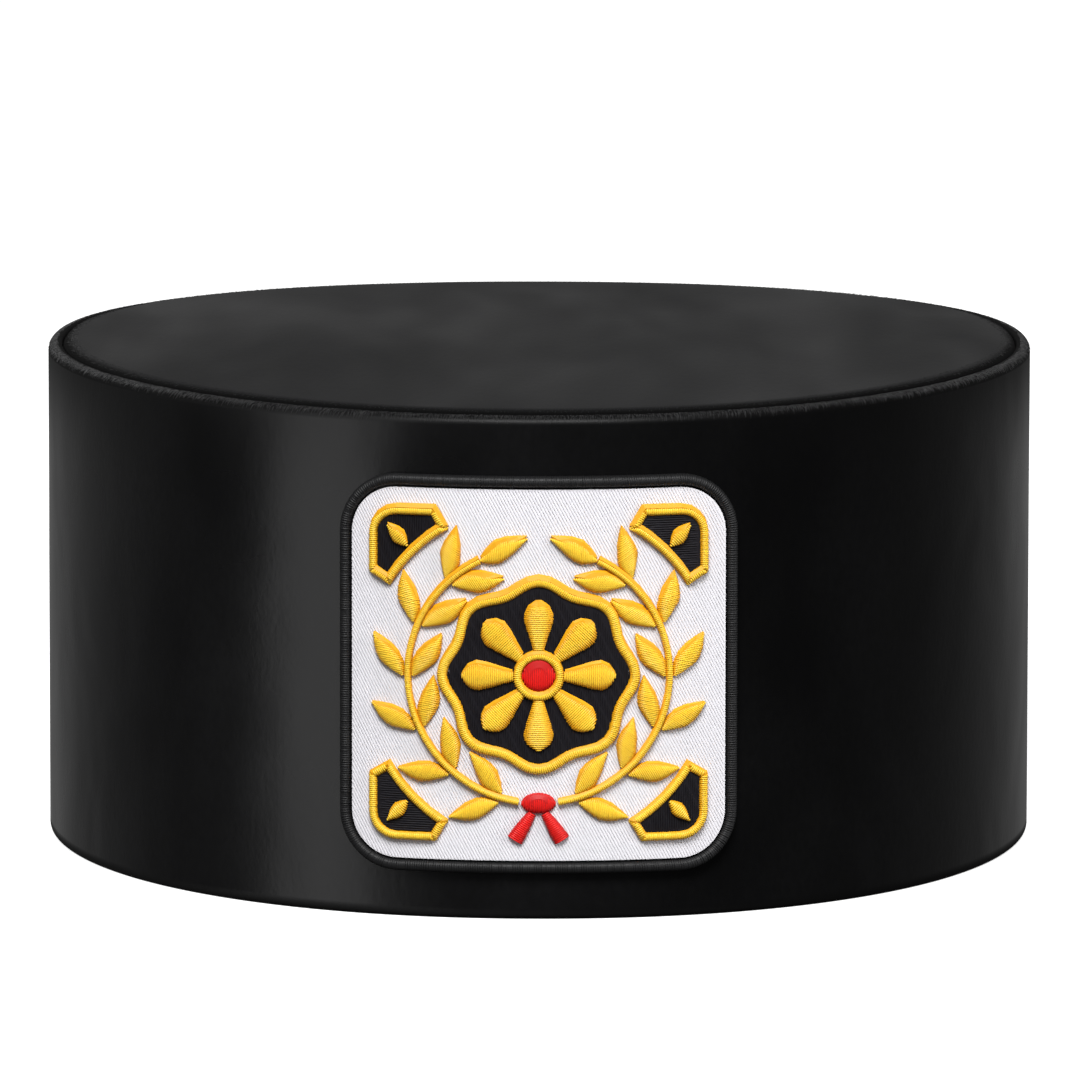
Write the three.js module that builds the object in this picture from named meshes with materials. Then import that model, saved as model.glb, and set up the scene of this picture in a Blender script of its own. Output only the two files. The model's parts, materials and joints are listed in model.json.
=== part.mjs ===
// A round, flat-topped, brimless dress cap in black velvet. Its side band is a padded wall rolled over at
// the top, the top panel is sewn into that roll, and a square embroidered patch sits on the front.
// Millimetres, +Z up. The front faces -Y, and the origin is on the ground in the middle of the opening.

import * as THREE from 'three';
import { LoftGeometry } from 'three/addons/geometries/LoftGeometry.js';

// Sizes of the cap's body
const OPENING_WIDTH = 174;
const OPENING_LENGTH = 203;
const OVAL_POWER = 2.1;
const WALL = 2.5;
const CAP_HEIGHT = 88;
const TAPER = 0.2;
const HEM_RADIUS = 0.8;
const ROLL_RADIUS = 1.6;
const SEAM_DEPTH = 0.6;
const SEAM_GAP = 0.3;
const PANEL_THICKNESS = 2.5;
const PILLOW_WIDTH = 3;
const PILLOW_RISE = 1.3;
const PANEL_DOME = 0.6;

// Sizes of the patch: its cloth, its border and the gaps between what is sewn on what
const PATCH_SIZE = 69.6;
const PATCH_CORNER = 10.5;
const PATCH_HEIGHT = 43;
const PATCH_GAP = 0.3;
const GROUND_THICKNESS = 0.8;
const BORDER_WIDTH = 2.1;
const BORDER_THICKNESS = 1.6;
const BORDER_GAP = 0.25;
const STITCH_GAP = 0.15;
const FIELD_THICKNESS = 0.35;
const SATIN_HEIGHT = 0.85;

// Sizes of the embroidery: the cloth left bare round it, its satin lines and the gaps between its motifs
const EMBLEM_MARGIN = 3.3;
const RIM_WIDTH = 1.7;
const HEART_RING_WIDTH = 1.3;
const HEART_GAP = 0.2;
const PETAL_HEIGHT = 0.65;
const PETAL_MARGIN = 2.7;
const STEM_WIDTH = 1.1;
const LEAF_GAP = 0.45;
const FAN_EDGE = 1.4;
const BUD_GAP = 0.6;

// Layout of the embroidery: shares of half its width, which is worked out from the patch
const EMBLEM_SHARES = {
	heartRadius: 0.094,
	petalWidth: 0.167,
	medallionRadius: 0.537,
	scallopDepth: 0.026,
	wreathRadius: 0.767,
	leafLength: 0.293,
	leafWidth: 0.122,
	knotWidth: 0.195,
	knotHeight: 0.118,
	tailLength: 0.181,
	tailWidth: 0.091,
	fanHollow: 1.02,
	budLength: 0.16,
	budWidth: 0.08,
};

// Counts and angles, in degrees, of the embroidery
const PETALS = 8;
const LEAF_PAIRS = 6;
const LEAF_SPREAD = 35;
const WREATH_START = 9;
const WREATH_END = 153;
const TAIL_SPREAD = 32;
const FAN_SPAN = 28;
const FAN_TURN = 45;

// The first leaf's place on its stretch of stem, and the two sides of the wreath
const FIRST_LEAF = 0.35;
const SIDES = [
	{ label: 'right', side: 1 },
	{ label: 'left', side: -1 },
];

// How finely the round shapes are cut into facets
const BAND_STATIONS = 96;
const ARC_DIVISIONS = 2;
const PILLOW_STEPS = 4;
const GROUND_STEPS = 12;
const BORDER_STEP = 3;
const SCALLOP_STEPS = 7;
const RING_STEPS = 24;
const STEM_STEPS = 20;

// Rings of the domed panel inside its pillowed edge, as shares of its own oval
const DOME_RINGS = [0.75, 0.5, 0.28, 0.1];

// Section of a satin bar: shares of half its width and of its height over the padding
const SATIN_SECTION = [
	{ side: -1, rise: 0 },
	{ side: -0.8, rise: 0.66 },
	{ side: 0, rise: 1 },
	{ side: 0.8, rise: 0.66 },
	{ side: 1, rise: 0 },
];

// Section of the overlocked border: a bead that is flat at the back
const BEAD_SECTION = [
	{ side: -1, rise: 0 },
	{ side: -0.96, rise: 0.5 },
	{ side: -0.6, rise: 0.9 },
	{ side: 0, rise: 1 },
	{ side: 0.6, rise: 0.9 },
	{ side: 0.96, rise: 0.5 },
	{ side: 1, rise: 0 },
];

// Outlines of the tapered satin shapes: shares of length, width and height from root to tip
const LEAF_OUTLINE = [
	{ along: 0, width: 0.16, rise: 0.5 },
	{ along: 0.14, width: 0.56, rise: 0.82 },
	{ along: 0.38, width: 1, rise: 1 },
	{ along: 0.62, width: 0.84, rise: 1 },
	{ along: 0.84, width: 0.42, rise: 0.82 },
	{ along: 1, width: 0.06, rise: 0.4 },
];
const PETAL_OUTLINE = [
	{ along: 0, width: 0.34, rise: 0.55 },
	{ along: 0.22, width: 0.56, rise: 0.88 },
	{ along: 0.5, width: 0.86, rise: 1 },
	{ along: 0.72, width: 1, rise: 1 },
	{ along: 0.89, width: 0.74, rise: 0.88 },
	{ along: 1, width: 0.2, rise: 0.5 },
];
const TAIL_OUTLINE = [
	{ along: 0, width: 0.5, rise: 0.7 },
	{ along: 0.3, width: 0.72, rise: 1 },
	{ along: 0.7, width: 0.95, rise: 1 },
	{ along: 1, width: 1, rise: 0.7 },
];

// Rings of a small round button of stitches: shares of its radius and of its height
const BUTTON_RINGS = [
	{ reach: 1, rise: 0 },
	{ reach: 0.86, rise: 0.66 },
	{ reach: 0.45, rise: 1 },
];

const velvet = new THREE.MeshStandardMaterial({ color: 0x1b1b1c, roughness: 0.95, metalness: 0 });
const whiteTwill = new THREE.MeshStandardMaterial({ color: 0xe9e6ea, roughness: 0.85, metalness: 0 });
const borderThread = new THREE.MeshStandardMaterial({ color: 0x151517, roughness: 0.6, metalness: 0 });
const blackThread = new THREE.MeshStandardMaterial({ color: 0x201f24, roughness: 0.55, metalness: 0 });
const goldThread = new THREE.MeshStandardMaterial({ color: 0xf6c42c, roughness: 0.45, metalness: 0 });
const redThread = new THREE.MeshStandardMaterial({ color: 0xd71f1c, roughness: 0.5, metalness: 0 });

const cap = new THREE.Group();

function addPiece(name, geometry, material) {
	const mesh = new THREE.Mesh(geometry, material);
	mesh.name = name;
	cap.add(mesh);
}

// The oval of the cap seen from above, once round from the middle of the front by way of +X
class CapOval extends THREE.Curve {

	constructor(halfWidth, halfLength, power) {
		super();
		this.halfWidth = halfWidth;
		this.halfLength = halfLength;
		this.power = power;
		this.arcLengthDivisions = 2000;
	}

	getPoint(share, target = new THREE.Vector3()) {
		const across = Math.sin(2 * Math.PI * share);
		const along = Math.cos(2 * Math.PI * share);
		const sum = Math.abs(across) ** this.power + Math.abs(along) ** this.power;
		const reach = sum ** (-1 / this.power);
		return target.set(this.halfWidth * across * reach, -this.halfLength * along * reach, 0);
	}

}

const oval = new CapOval(OPENING_WIDTH / 2 + WALL, OPENING_LENGTH / 2 + WALL, OVAL_POWER);
const girth = oval.getLength();

// A place on the leaning wall: so far round from the front, so high, and so far out from its face
function onWall(round, height, out) {
	const share = THREE.MathUtils.euclideanModulo(round / girth, 1);
	const point = oval.getPointAt(share);
	const tangent = oval.getTangentAt(share);
	const offset = out - TAPER * height / CAP_HEIGHT;
	return point.set(point.x + tangent.y * offset, point.y - tangent.x * offset, height);
}

// Side band: one profile of hem, wall and roll, swept once round the oval
function bandProfile() {
	const rollTop = CAP_HEIGHT - ROLL_RADIUS;
	const seamLevel = CAP_HEIGHT - SEAM_DEPTH;
	const profile = new THREE.Path();
	profile.absarc(-HEM_RADIUS, HEM_RADIUS, HEM_RADIUS, -Math.PI / 2, 0);
	profile.absarc(-ROLL_RADIUS, rollTop, ROLL_RADIUS, 0, Math.PI / 2);
	profile.quadraticCurveTo(-WALL, CAP_HEIGHT, -WALL, seamLevel);
	profile.absarc(HEM_RADIUS - WALL, HEM_RADIUS, HEM_RADIUS, Math.PI, Math.PI * 1.5);
	return profile.getPoints(ARC_DIVISIONS).reverse();
}

function sideBand() {
	const profile = bandProfile();
	const sections = [];
	for (let i = 0; i < BAND_STATIONS; i++) {
		const round = girth * i / BAND_STATIONS;
		sections.push(profile.map((point) => onWall(round, point.y, point.x)));
	}
	sections.push(sections[0]);
	return new LoftGeometry(sections);
}

addPiece('side_band', sideBand(), velvet);

// Top panel: a flat underside, an upright edge inside the band, a pillowed rim and a low dome
function panelRing(height, inset) {
	const ring = [];
	for (let i = 0; i < BAND_STATIONS; i++) {
		ring.push(onWall(girth * i / BAND_STATIONS, height, -WALL - SEAM_GAP - inset));
	}
	return ring;
}

function topPanel() {
	const edgeLevel = CAP_HEIGHT - SEAM_DEPTH;
	const rings = [panelRing(CAP_HEIGHT - PANEL_THICKNESS, 0), panelRing(edgeLevel, 0)];
	for (let i = 1; i <= PILLOW_STEPS; i++) {
		const turn = Math.PI / 2 * i / PILLOW_STEPS;
		rings.push(panelRing(edgeLevel + PILLOW_RISE * Math.sin(turn), PILLOW_WIDTH * (1 - Math.cos(turn))));
	}
	const shoulder = rings[rings.length - 1];
	for (const share of DOME_RINGS) {
		const level = edgeLevel + PILLOW_RISE + PANEL_DOME * (1 - share * share);
		rings.push(shoulder.map((point) => new THREE.Vector3(point.x * share, point.y * share, level)));
	}
	return new LoftGeometry(rings, { capStart: true, capEnd: true });
}

addPiece('top_panel', topPanel(), velvet);

// A place on the patch: right of and above its middle as seen from the front, and out from its back
function onPatch(right, up, out) {
	return onWall(right, PATCH_HEIGHT + up, PATCH_GAP + out);
}

// A flat layer of the patch, cut into upright strips that follow the wall: each row is where a strip ends
function layerOfStrips(rows, base, thickness) {
	const sections = rows.map(({ right, low, high }) => [
		onPatch(right, low, base),
		onPatch(right, high, base),
		onPatch(right, high, base + thickness),
		onPatch(right, low, base + thickness),
	]);
	return new LoftGeometry(sections, { capStart: true, capEnd: true });
}

// Patch ground: a square of cloth with round corners
const groundHalf = PATCH_SIZE / 2 - BORDER_WIDTH - BORDER_GAP;
const groundCorner = PATCH_CORNER - BORDER_WIDTH - BORDER_GAP;

function patchGround() {
	const straight = groundHalf - groundCorner;
	const rows = [];
	for (let i = -GROUND_STEPS; i <= GROUND_STEPS; i++) {
		const right = groundHalf * Math.sin(Math.PI / 2 * i / GROUND_STEPS);
		const past = Math.max(0, Math.abs(right) - straight);
		const high = straight + Math.sqrt(Math.max(0, groundCorner ** 2 - past ** 2));
		rows.push({ right, low: -high, high });
	}
	return layerOfStrips(rows, 0, GROUND_THICKNESS);
}

addPiece('patch_ground', patchGround(), whiteTwill);

// Sections of stitching laid along stations, each with its middle, its half-width as a vector and its rise
function stitchSections(stations, section, base, height) {
	return stations.map((station) => section.map(({ side, rise }) => onPatch(
		station.middle.x + station.half.x * side,
		station.middle.y + station.half.y * side,
		base + height * station.rise * rise,
	)));
}

function stitchedBar(stations, base, height) {
	const sections = stitchSections(stations, SATIN_SECTION, base, height);
	return new LoftGeometry(sections, { capStart: true, capEnd: true });
}

// Directions in which the corners of a closed outline move when all its sides move out by 1
function cornerDirections(outline) {
	return outline.map((point, i) => {
		const before = outline[(i + outline.length - 1) % outline.length];
		const after = outline[(i + 1) % outline.length];
		const first = new THREE.Vector2(point.y - before.y, before.x - point.x).normalize();
		const second = new THREE.Vector2(after.y - point.y, point.x - after.x).normalize();
		return first.clone().add(second).divideScalar(1 + first.dot(second));
	});
}

function movedOutline(outline, distance) {
	const directions = cornerDirections(outline);
	return outline.map((point, i) => point.clone().addScaledVector(directions[i], distance));
}

function stitchedLoop(outline, width, section, base, height) {
	const directions = cornerDirections(outline);
	const stations = outline.map((point, i) => (
		{ middle: point, half: directions[i].clone().multiplyScalar(width / 2), rise: 1 }
	));
	const sections = stitchSections(stations, section, base, height);
	sections.push(sections[0]);
	return new LoftGeometry(sections);
}

// Patch border: the bead of overlock thread that runs round the cloth
function patchBorder() {
	const half = (PATCH_SIZE - BORDER_WIDTH) / 2;
	const corner = PATCH_CORNER - BORDER_WIDTH / 2;
	const straight = half - corner;
	const line = new THREE.Path();
	line.absarc(straight, straight, corner, 0, Math.PI / 2);
	line.absarc(-straight, straight, corner, Math.PI / 2, Math.PI);
	line.absarc(-straight, -straight, corner, Math.PI, Math.PI * 1.5);
	line.absarc(straight, -straight, corner, Math.PI * 1.5, Math.PI * 2);
	line.closePath();
	const outline = line.getSpacedPoints(Math.ceil(line.getLength() / BORDER_STEP));
	outline.pop();
	return stitchedLoop(outline, BORDER_WIDTH, BEAD_SECTION, 0, BORDER_THICKNESS);
}

addPiece('patch_border', patchBorder(), borderThread);

// A small round or oval button of stitches
function stitchedButton(middle, halfWidth, halfHeight, base, height) {
	const rings = BUTTON_RINGS.map(({ reach, rise }) => {
		const ring = [];
		for (let i = 0; i < RING_STEPS; i++) {
			const turn = 2 * Math.PI * i / RING_STEPS;
			const right = middle.x + halfWidth * reach * Math.cos(turn);
			const up = middle.y + halfHeight * reach * Math.sin(turn);
			ring.push(onPatch(right, up, base + height * rise));
		}
		return ring;
	});
	return new LoftGeometry(rings, { capStart: true, capEnd: true });
}

// A tapered satin shape: its root, the angle it grows at, and its outline table
function stitchedLeaf(root, angle, length, width, outline, base, height) {
	const heading = new THREE.Vector2(Math.cos(angle), Math.sin(angle));
	const side = new THREE.Vector2(heading.y, -heading.x);
	const stations = outline.map((row) => ({
		middle: root.clone().addScaledVector(heading, length * row.along),
		half: side.clone().multiplyScalar(width / 2 * row.width),
		rise: row.rise,
	}));
	return stitchedBar(stations, base, height);
}

const degrees = Math.PI / 180;
const emblemHalf = groundHalf - EMBLEM_MARGIN;
const onCloth = GROUND_THICKNESS + STITCH_GAP;
const onField = onCloth + FIELD_THICKNESS + STITCH_GAP;

const middle = new THREE.Vector2(0, 0);

function polar(radius, angle) {
	return new THREE.Vector2(radius * Math.cos(angle), radius * Math.sin(angle));
}

// Medallion: a scalloped black field, one scallop for each petal, inside a gold satin rim
const medallionSteps = PETALS * SCALLOP_STEPS;
const medallionRadius = emblemHalf * EMBLEM_SHARES.medallionRadius;
const scallopDepth = emblemHalf * EMBLEM_SHARES.scallopDepth;
const rimLine = [];
for (let i = 0; i < medallionSteps; i++) {
	const angle = 2 * Math.PI * i / medallionSteps;
	rimLine.push(polar(medallionRadius + scallopDepth * Math.cos(PETALS * angle), angle));
}

function medallionField() {
	const outline = movedOutline(rimLine, -RIM_WIDTH / 2 - STITCH_GAP);
	const rows = [];
	for (let i = medallionSteps / 2 - 1; i > 0; i--) {
		rows.push({ right: outline[i].x, low: -outline[i].y, high: outline[i].y });
	}
	return layerOfStrips(rows, onCloth, FIELD_THICKNESS);
}

addPiece('medallion_field', medallionField(), blackThread);
addPiece('medallion_rim', stitchedLoop(rimLine, RIM_WIDTH, SATIN_SECTION, onCloth, SATIN_HEIGHT), goldThread);

// Rosette: a red heart in a gold ring, with a petal from the ring towards each scallop
const heartRadius = emblemHalf * EMBLEM_SHARES.heartRadius;
const heartRingRadius = heartRadius + HEART_GAP + HEART_RING_WIDTH / 2;
const petalRoot = heartRingRadius + HEART_RING_WIDTH / 2 + HEART_GAP;
const petalTip = medallionRadius + scallopDepth - RIM_WIDTH / 2 - PETAL_MARGIN;

function heartRing() {
	const line = [];
	for (let i = 0; i < RING_STEPS; i++) {
		line.push(polar(heartRingRadius, 2 * Math.PI * i / RING_STEPS));
	}
	return stitchedLoop(line, HEART_RING_WIDTH, SATIN_SECTION, onField, PETAL_HEIGHT);
}

addPiece('rosette_heart', stitchedButton(middle, heartRadius, heartRadius, onField, PETAL_HEIGHT), redThread);
addPiece('rosette_ring', heartRing(), goldThread);
for (let i = 0; i < PETALS; i++) {
	const angle = 2 * Math.PI * i / PETALS;
	const petal = stitchedLeaf(
		polar(petalRoot, angle),
		angle,
		petalTip - petalRoot,
		emblemHalf * EMBLEM_SHARES.petalWidth,
		PETAL_OUTLINE,
		onField,
		PETAL_HEIGHT,
	);
	addPiece(`petal_${i + 1}`, petal, goldThread);
}

// Wreath: two stems that rise from the ribbon at the bottom, with paired leaves and one at each tip
const wreathRadius = emblemHalf * EMBLEM_SHARES.wreathRadius;

// The angle, from the patch's middle, of a place so many degrees up its side of the wreath
function wreathAngle(side, climb) {
	return (side * (climb - 90) + (side < 0 ? 180 : 0)) * degrees;
}

function stem(side) {
	const stations = [];
	for (let i = 0; i <= STEM_STEPS; i++) {
		const angle = wreathAngle(side, WREATH_START + (WREATH_END - WREATH_START) * i / STEM_STEPS);
		stations.push({
			middle: polar(wreathRadius, angle),
			half: polar(side * STEM_WIDTH / 2, angle),
			rise: 1,
		});
	}
	return stitchedBar(stations, onCloth, SATIN_HEIGHT);
}

// A leaf that leans out from its stem, in from it, or not at all: lean is 1, -1 or 0
function leaf(side, climb, lean) {
	const angle = wreathAngle(side, climb);
	const root = polar(wreathRadius + lean * (STEM_WIDTH / 2 + LEAF_GAP), angle);
	const growing = angle + side * (90 - lean * LEAF_SPREAD) * degrees;
	const length = emblemHalf * EMBLEM_SHARES.leafLength;
	const width = emblemHalf * EMBLEM_SHARES.leafWidth;
	return stitchedLeaf(root, growing, length, width, LEAF_OUTLINE, onCloth, SATIN_HEIGHT);
}

const leafStep = (WREATH_END - WREATH_START) / LEAF_PAIRS;
const tipLeafClimb = WREATH_END + LEAF_GAP / wreathRadius / degrees;
for (const { label, side } of SIDES) {
	addPiece(`stem_${label}`, stem(side), goldThread);
	for (let i = 0; i < LEAF_PAIRS; i++) {
		const climb = WREATH_START + leafStep * (i + FIRST_LEAF);
		addPiece(`leaf_${label}_${2 * i + 1}`, leaf(side, climb, 1), goldThread);
		addPiece(`leaf_${label}_${2 * i + 2}`, leaf(side, climb, -1), goldThread);
	}
	addPiece(`leaf_${label}_${2 * LEAF_PAIRS + 1}`, leaf(side, tipLeafClimb, 0), goldThread);
}

// Ribbon: a knot where the stems meet, and two tails that hang from it
const knotMiddle = new THREE.Vector2(0, -wreathRadius);
const knotHalfWidth = emblemHalf * EMBLEM_SHARES.knotWidth / 2;
const knotHalfHeight = emblemHalf * EMBLEM_SHARES.knotHeight / 2;

function ribbonTail(side) {
	const angle = (side * TAIL_SPREAD - 90) * degrees;
	const root = knotMiddle.clone().add(polar(knotHalfHeight + LEAF_GAP, angle));
	const length = emblemHalf * EMBLEM_SHARES.tailLength;
	const width = emblemHalf * EMBLEM_SHARES.tailWidth;
	return stitchedLeaf(root, angle, length, width, TAIL_OUTLINE, onCloth, SATIN_HEIGHT);
}

addPiece(
	'tie_knot',
	stitchedButton(knotMiddle, knotHalfWidth, knotHalfHeight, onCloth, SATIN_HEIGHT),
	redThread,
);
for (const { label, side } of SIDES) {
	addPiece(`tie_tail_${label}`, ribbonTail(side), redThread);
}

// Corner fans: a black field with a gold edge and a gold bud, hollowed on the side that faces the wreath
const fanHollow = emblemHalf * EMBLEM_SHARES.fanHollow;

function fanOutline() {
	const corner = groundCorner - EMBLEM_MARGIN;
	const start = (FAN_TURN - FAN_SPAN / 2) * degrees;
	const sideEnd = emblemHalf * Math.tan(start);
	const outline = new THREE.Path();
	outline.absarc(0, 0, fanHollow, Math.PI / 2 - start, start, true);
	outline.lineTo(emblemHalf, sideEnd);
	outline.absarc(emblemHalf - corner, emblemHalf - corner, corner, 0, Math.PI / 2);
	outline.lineTo(sideEnd, emblemHalf);
	return outline.getPoints(ARC_DIVISIONS);
}

const fan = fanOutline();
const fanEdgeLine = movedOutline(fan, -FAN_EDGE / 2);
const fanFieldLine = movedOutline(fan, -FAN_EDGE - STITCH_GAP);

function turned(outline, turn) {
	return outline.map((point) => point.clone().rotateAround(middle, turn));
}

function fanField(turn) {
	const line = turned(fanFieldLine, turn);
	const faces = [onCloth, onCloth + FIELD_THICKNESS].map(
		(out) => line.map((point) => onPatch(point.x, point.y, out)),
	);
	return new LoftGeometry(faces, { capStart: true, capEnd: true });
}

function fanBud(turn) {
	const angle = turn + FAN_TURN * degrees;
	const root = polar(fanHollow + FAN_EDGE + BUD_GAP, angle);
	const length = emblemHalf * EMBLEM_SHARES.budLength;
	const width = emblemHalf * EMBLEM_SHARES.budWidth;
	return stitchedLeaf(root, angle, length, width, LEAF_OUTLINE, onField, PETAL_HEIGHT);
}

for (let i = 0; i < 4; i++) {
	const turn = Math.PI / 2 * i;
	const edge = stitchedLoop(turned(fanEdgeLine, turn), FAN_EDGE, SATIN_SECTION, onCloth, SATIN_HEIGHT);
	addPiece(`corner_rim_${i + 1}`, edge, goldThread);
	addPiece(`corner_field_${i + 1}`, fanField(turn), blackThread);
	addPiece(`corner_bud_${i + 1}`, fanBud(turn), goldThread);
}

export default cap;
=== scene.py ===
import json
import math

import bmesh
import bpy
from mathutils import Matrix, Vector

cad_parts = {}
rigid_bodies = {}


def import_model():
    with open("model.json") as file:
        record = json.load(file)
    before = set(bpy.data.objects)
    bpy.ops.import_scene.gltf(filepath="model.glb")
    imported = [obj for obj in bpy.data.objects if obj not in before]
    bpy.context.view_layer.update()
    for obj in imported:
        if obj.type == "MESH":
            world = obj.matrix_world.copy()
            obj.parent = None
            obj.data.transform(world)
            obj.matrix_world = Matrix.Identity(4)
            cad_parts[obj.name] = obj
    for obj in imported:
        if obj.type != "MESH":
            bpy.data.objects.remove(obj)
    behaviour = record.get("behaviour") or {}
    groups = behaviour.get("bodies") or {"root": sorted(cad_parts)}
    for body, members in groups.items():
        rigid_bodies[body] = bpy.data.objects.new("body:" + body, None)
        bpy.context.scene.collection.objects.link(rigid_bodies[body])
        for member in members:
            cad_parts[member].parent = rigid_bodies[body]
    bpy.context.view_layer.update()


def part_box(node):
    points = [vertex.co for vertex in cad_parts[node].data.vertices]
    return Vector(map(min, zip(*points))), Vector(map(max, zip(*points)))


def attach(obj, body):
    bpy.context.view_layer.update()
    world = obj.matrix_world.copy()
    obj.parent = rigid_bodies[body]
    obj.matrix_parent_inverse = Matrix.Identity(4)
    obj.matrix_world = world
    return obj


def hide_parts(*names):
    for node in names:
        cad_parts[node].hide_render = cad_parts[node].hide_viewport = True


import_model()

# Side band: a strip of black short-pile velvet over a padded, stiffened wall. It is joined in the middle of
# the back, hemmed round at the bottom and rolled over at the top, where the panel is sewn into the roll.
band_low, band_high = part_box("side_band")
HALF_WIDTH = (band_high.x - band_low.x) / 2
HALF_LENGTH = (band_high.y - band_low.y) / 2
CAP_HEIGHT = band_high.z
OVAL_POWER = 2.1
LEAN = 0.0002
WALL = 0.0025
HEM_RADIUS = 0.0008
ROLL_RADIUS = 0.0016
SEAM_DEPTH = 0.0006
# Painted shade on the velvet: on the roll and on the wall just under it, at the front and at the sides, how far down
# the wall it reaches, and how dark the hem is painted.
FRONT_PAINTED_SHADE = (0.2, 0.0)
SIDE_PAINTED_SHADE = (0.8, 0.5)
PAINTED_SHADE_REACH = 0.02
HEM_SHADE = 0.75
HEM_FADE = 0.0012
ROUND_STATIONS = 480
BACK_SEAM_DEPTH = 0.00035
BACK_SEAM_WIDTH = 0.0012
UNEVENNESS = 0.00016
UNEVENNESS_SCALE = 22.0
CROWN_SADDLE = 0.0008


def add_node(tree, kind, inputs=None, **settings):
    """A node with its settings made, and its inputs set to a value or joined to a socket."""
    node = tree.nodes.new(kind)
    for name, value in settings.items():
        setattr(node, name, value)
    for key, value in (inputs or {}).items():
        if isinstance(value, bpy.types.NodeSocket):
            tree.links.new(value, node.inputs[key])
        else:
            node.inputs[key].default_value = value
    return node


def math_node(tree, operation, *values):
    """The result socket of a Math node on one to three numbers or sockets."""
    return add_node(tree, "ShaderNodeMath", dict(enumerate(values)), operation=operation).outputs[0]


def new_tree(name, kind, inputs, outputs):
    """A node group with its sockets, given as (name, type, value), and its input and output nodes."""
    tree = bpy.data.node_groups.new(name, kind)
    for label, socket, value in inputs:
        made = tree.interface.new_socket(name=label, in_out="INPUT", socket_type=socket)
        if value is not None:
            made.default_value = value
    for label, socket in outputs:
        tree.interface.new_socket(name=label, in_out="OUTPUT", socket_type=socket)
    return tree, tree.nodes.new("NodeGroupInput").outputs, tree.nodes.new("NodeGroupOutput").inputs


def ramp(tree, value, low, high, from_low=0.3, from_high=0.7):
    """A number that goes from low to high as the value crosses its own range."""
    return add_node(
        tree,
        "ShaderNodeMapRange",
        {"Value": value, "From Min": from_low, "From Max": from_high, "To Min": low, "To Max": high},
    ).outputs[0]


def oval_tree():
    """The outer oval of the cap on the ground, as a curve that starts at +X and goes round by the back."""
    tree, given, out = new_tree(
        "Cap oval",
        "GeometryNodeTree",
        [
            ("Half Width", "NodeSocketFloat", HALF_WIDTH),
            ("Half Length", "NodeSocketFloat", HALF_LENGTH),
            ("Power", "NodeSocketFloat", OVAL_POWER),
        ],
        [("Oval", "NodeSocketGeometry")],
    )
    circle = add_node(tree, "GeometryNodeCurvePrimitiveCircle", {"Resolution": 720, "Radius": 1.0})
    place = add_node(tree, "ShaderNodeSeparateXYZ", {0: add_node(tree, "GeometryNodeInputPosition").outputs[0]})
    powers = [
        math_node(tree, "POWER", math_node(tree, "ABSOLUTE", place.outputs[axis]), given["Power"])
        for axis in (0, 1)
    ]
    root = math_node(tree, "DIVIDE", -1.0, given["Power"])
    reach = math_node(tree, "POWER", math_node(tree, "ADD", *powers), root)
    across = math_node(tree, "MULTIPLY", math_node(tree, "MULTIPLY", place.outputs[0], reach), given["Half Width"])
    along = math_node(tree, "MULTIPLY", math_node(tree, "MULTIPLY", place.outputs[1], reach), given["Half Length"])
    shaped = add_node(
        tree,
        "GeometryNodeSetPosition",
        {
            "Geometry": circle.outputs["Curve"],
            "Position": add_node(tree, "ShaderNodeCombineXYZ", {0: across, 1: along}).outputs[0],
        },
    )
    tree.links.new(shaped.outputs[0], out["Oval"])
    return tree


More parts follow.
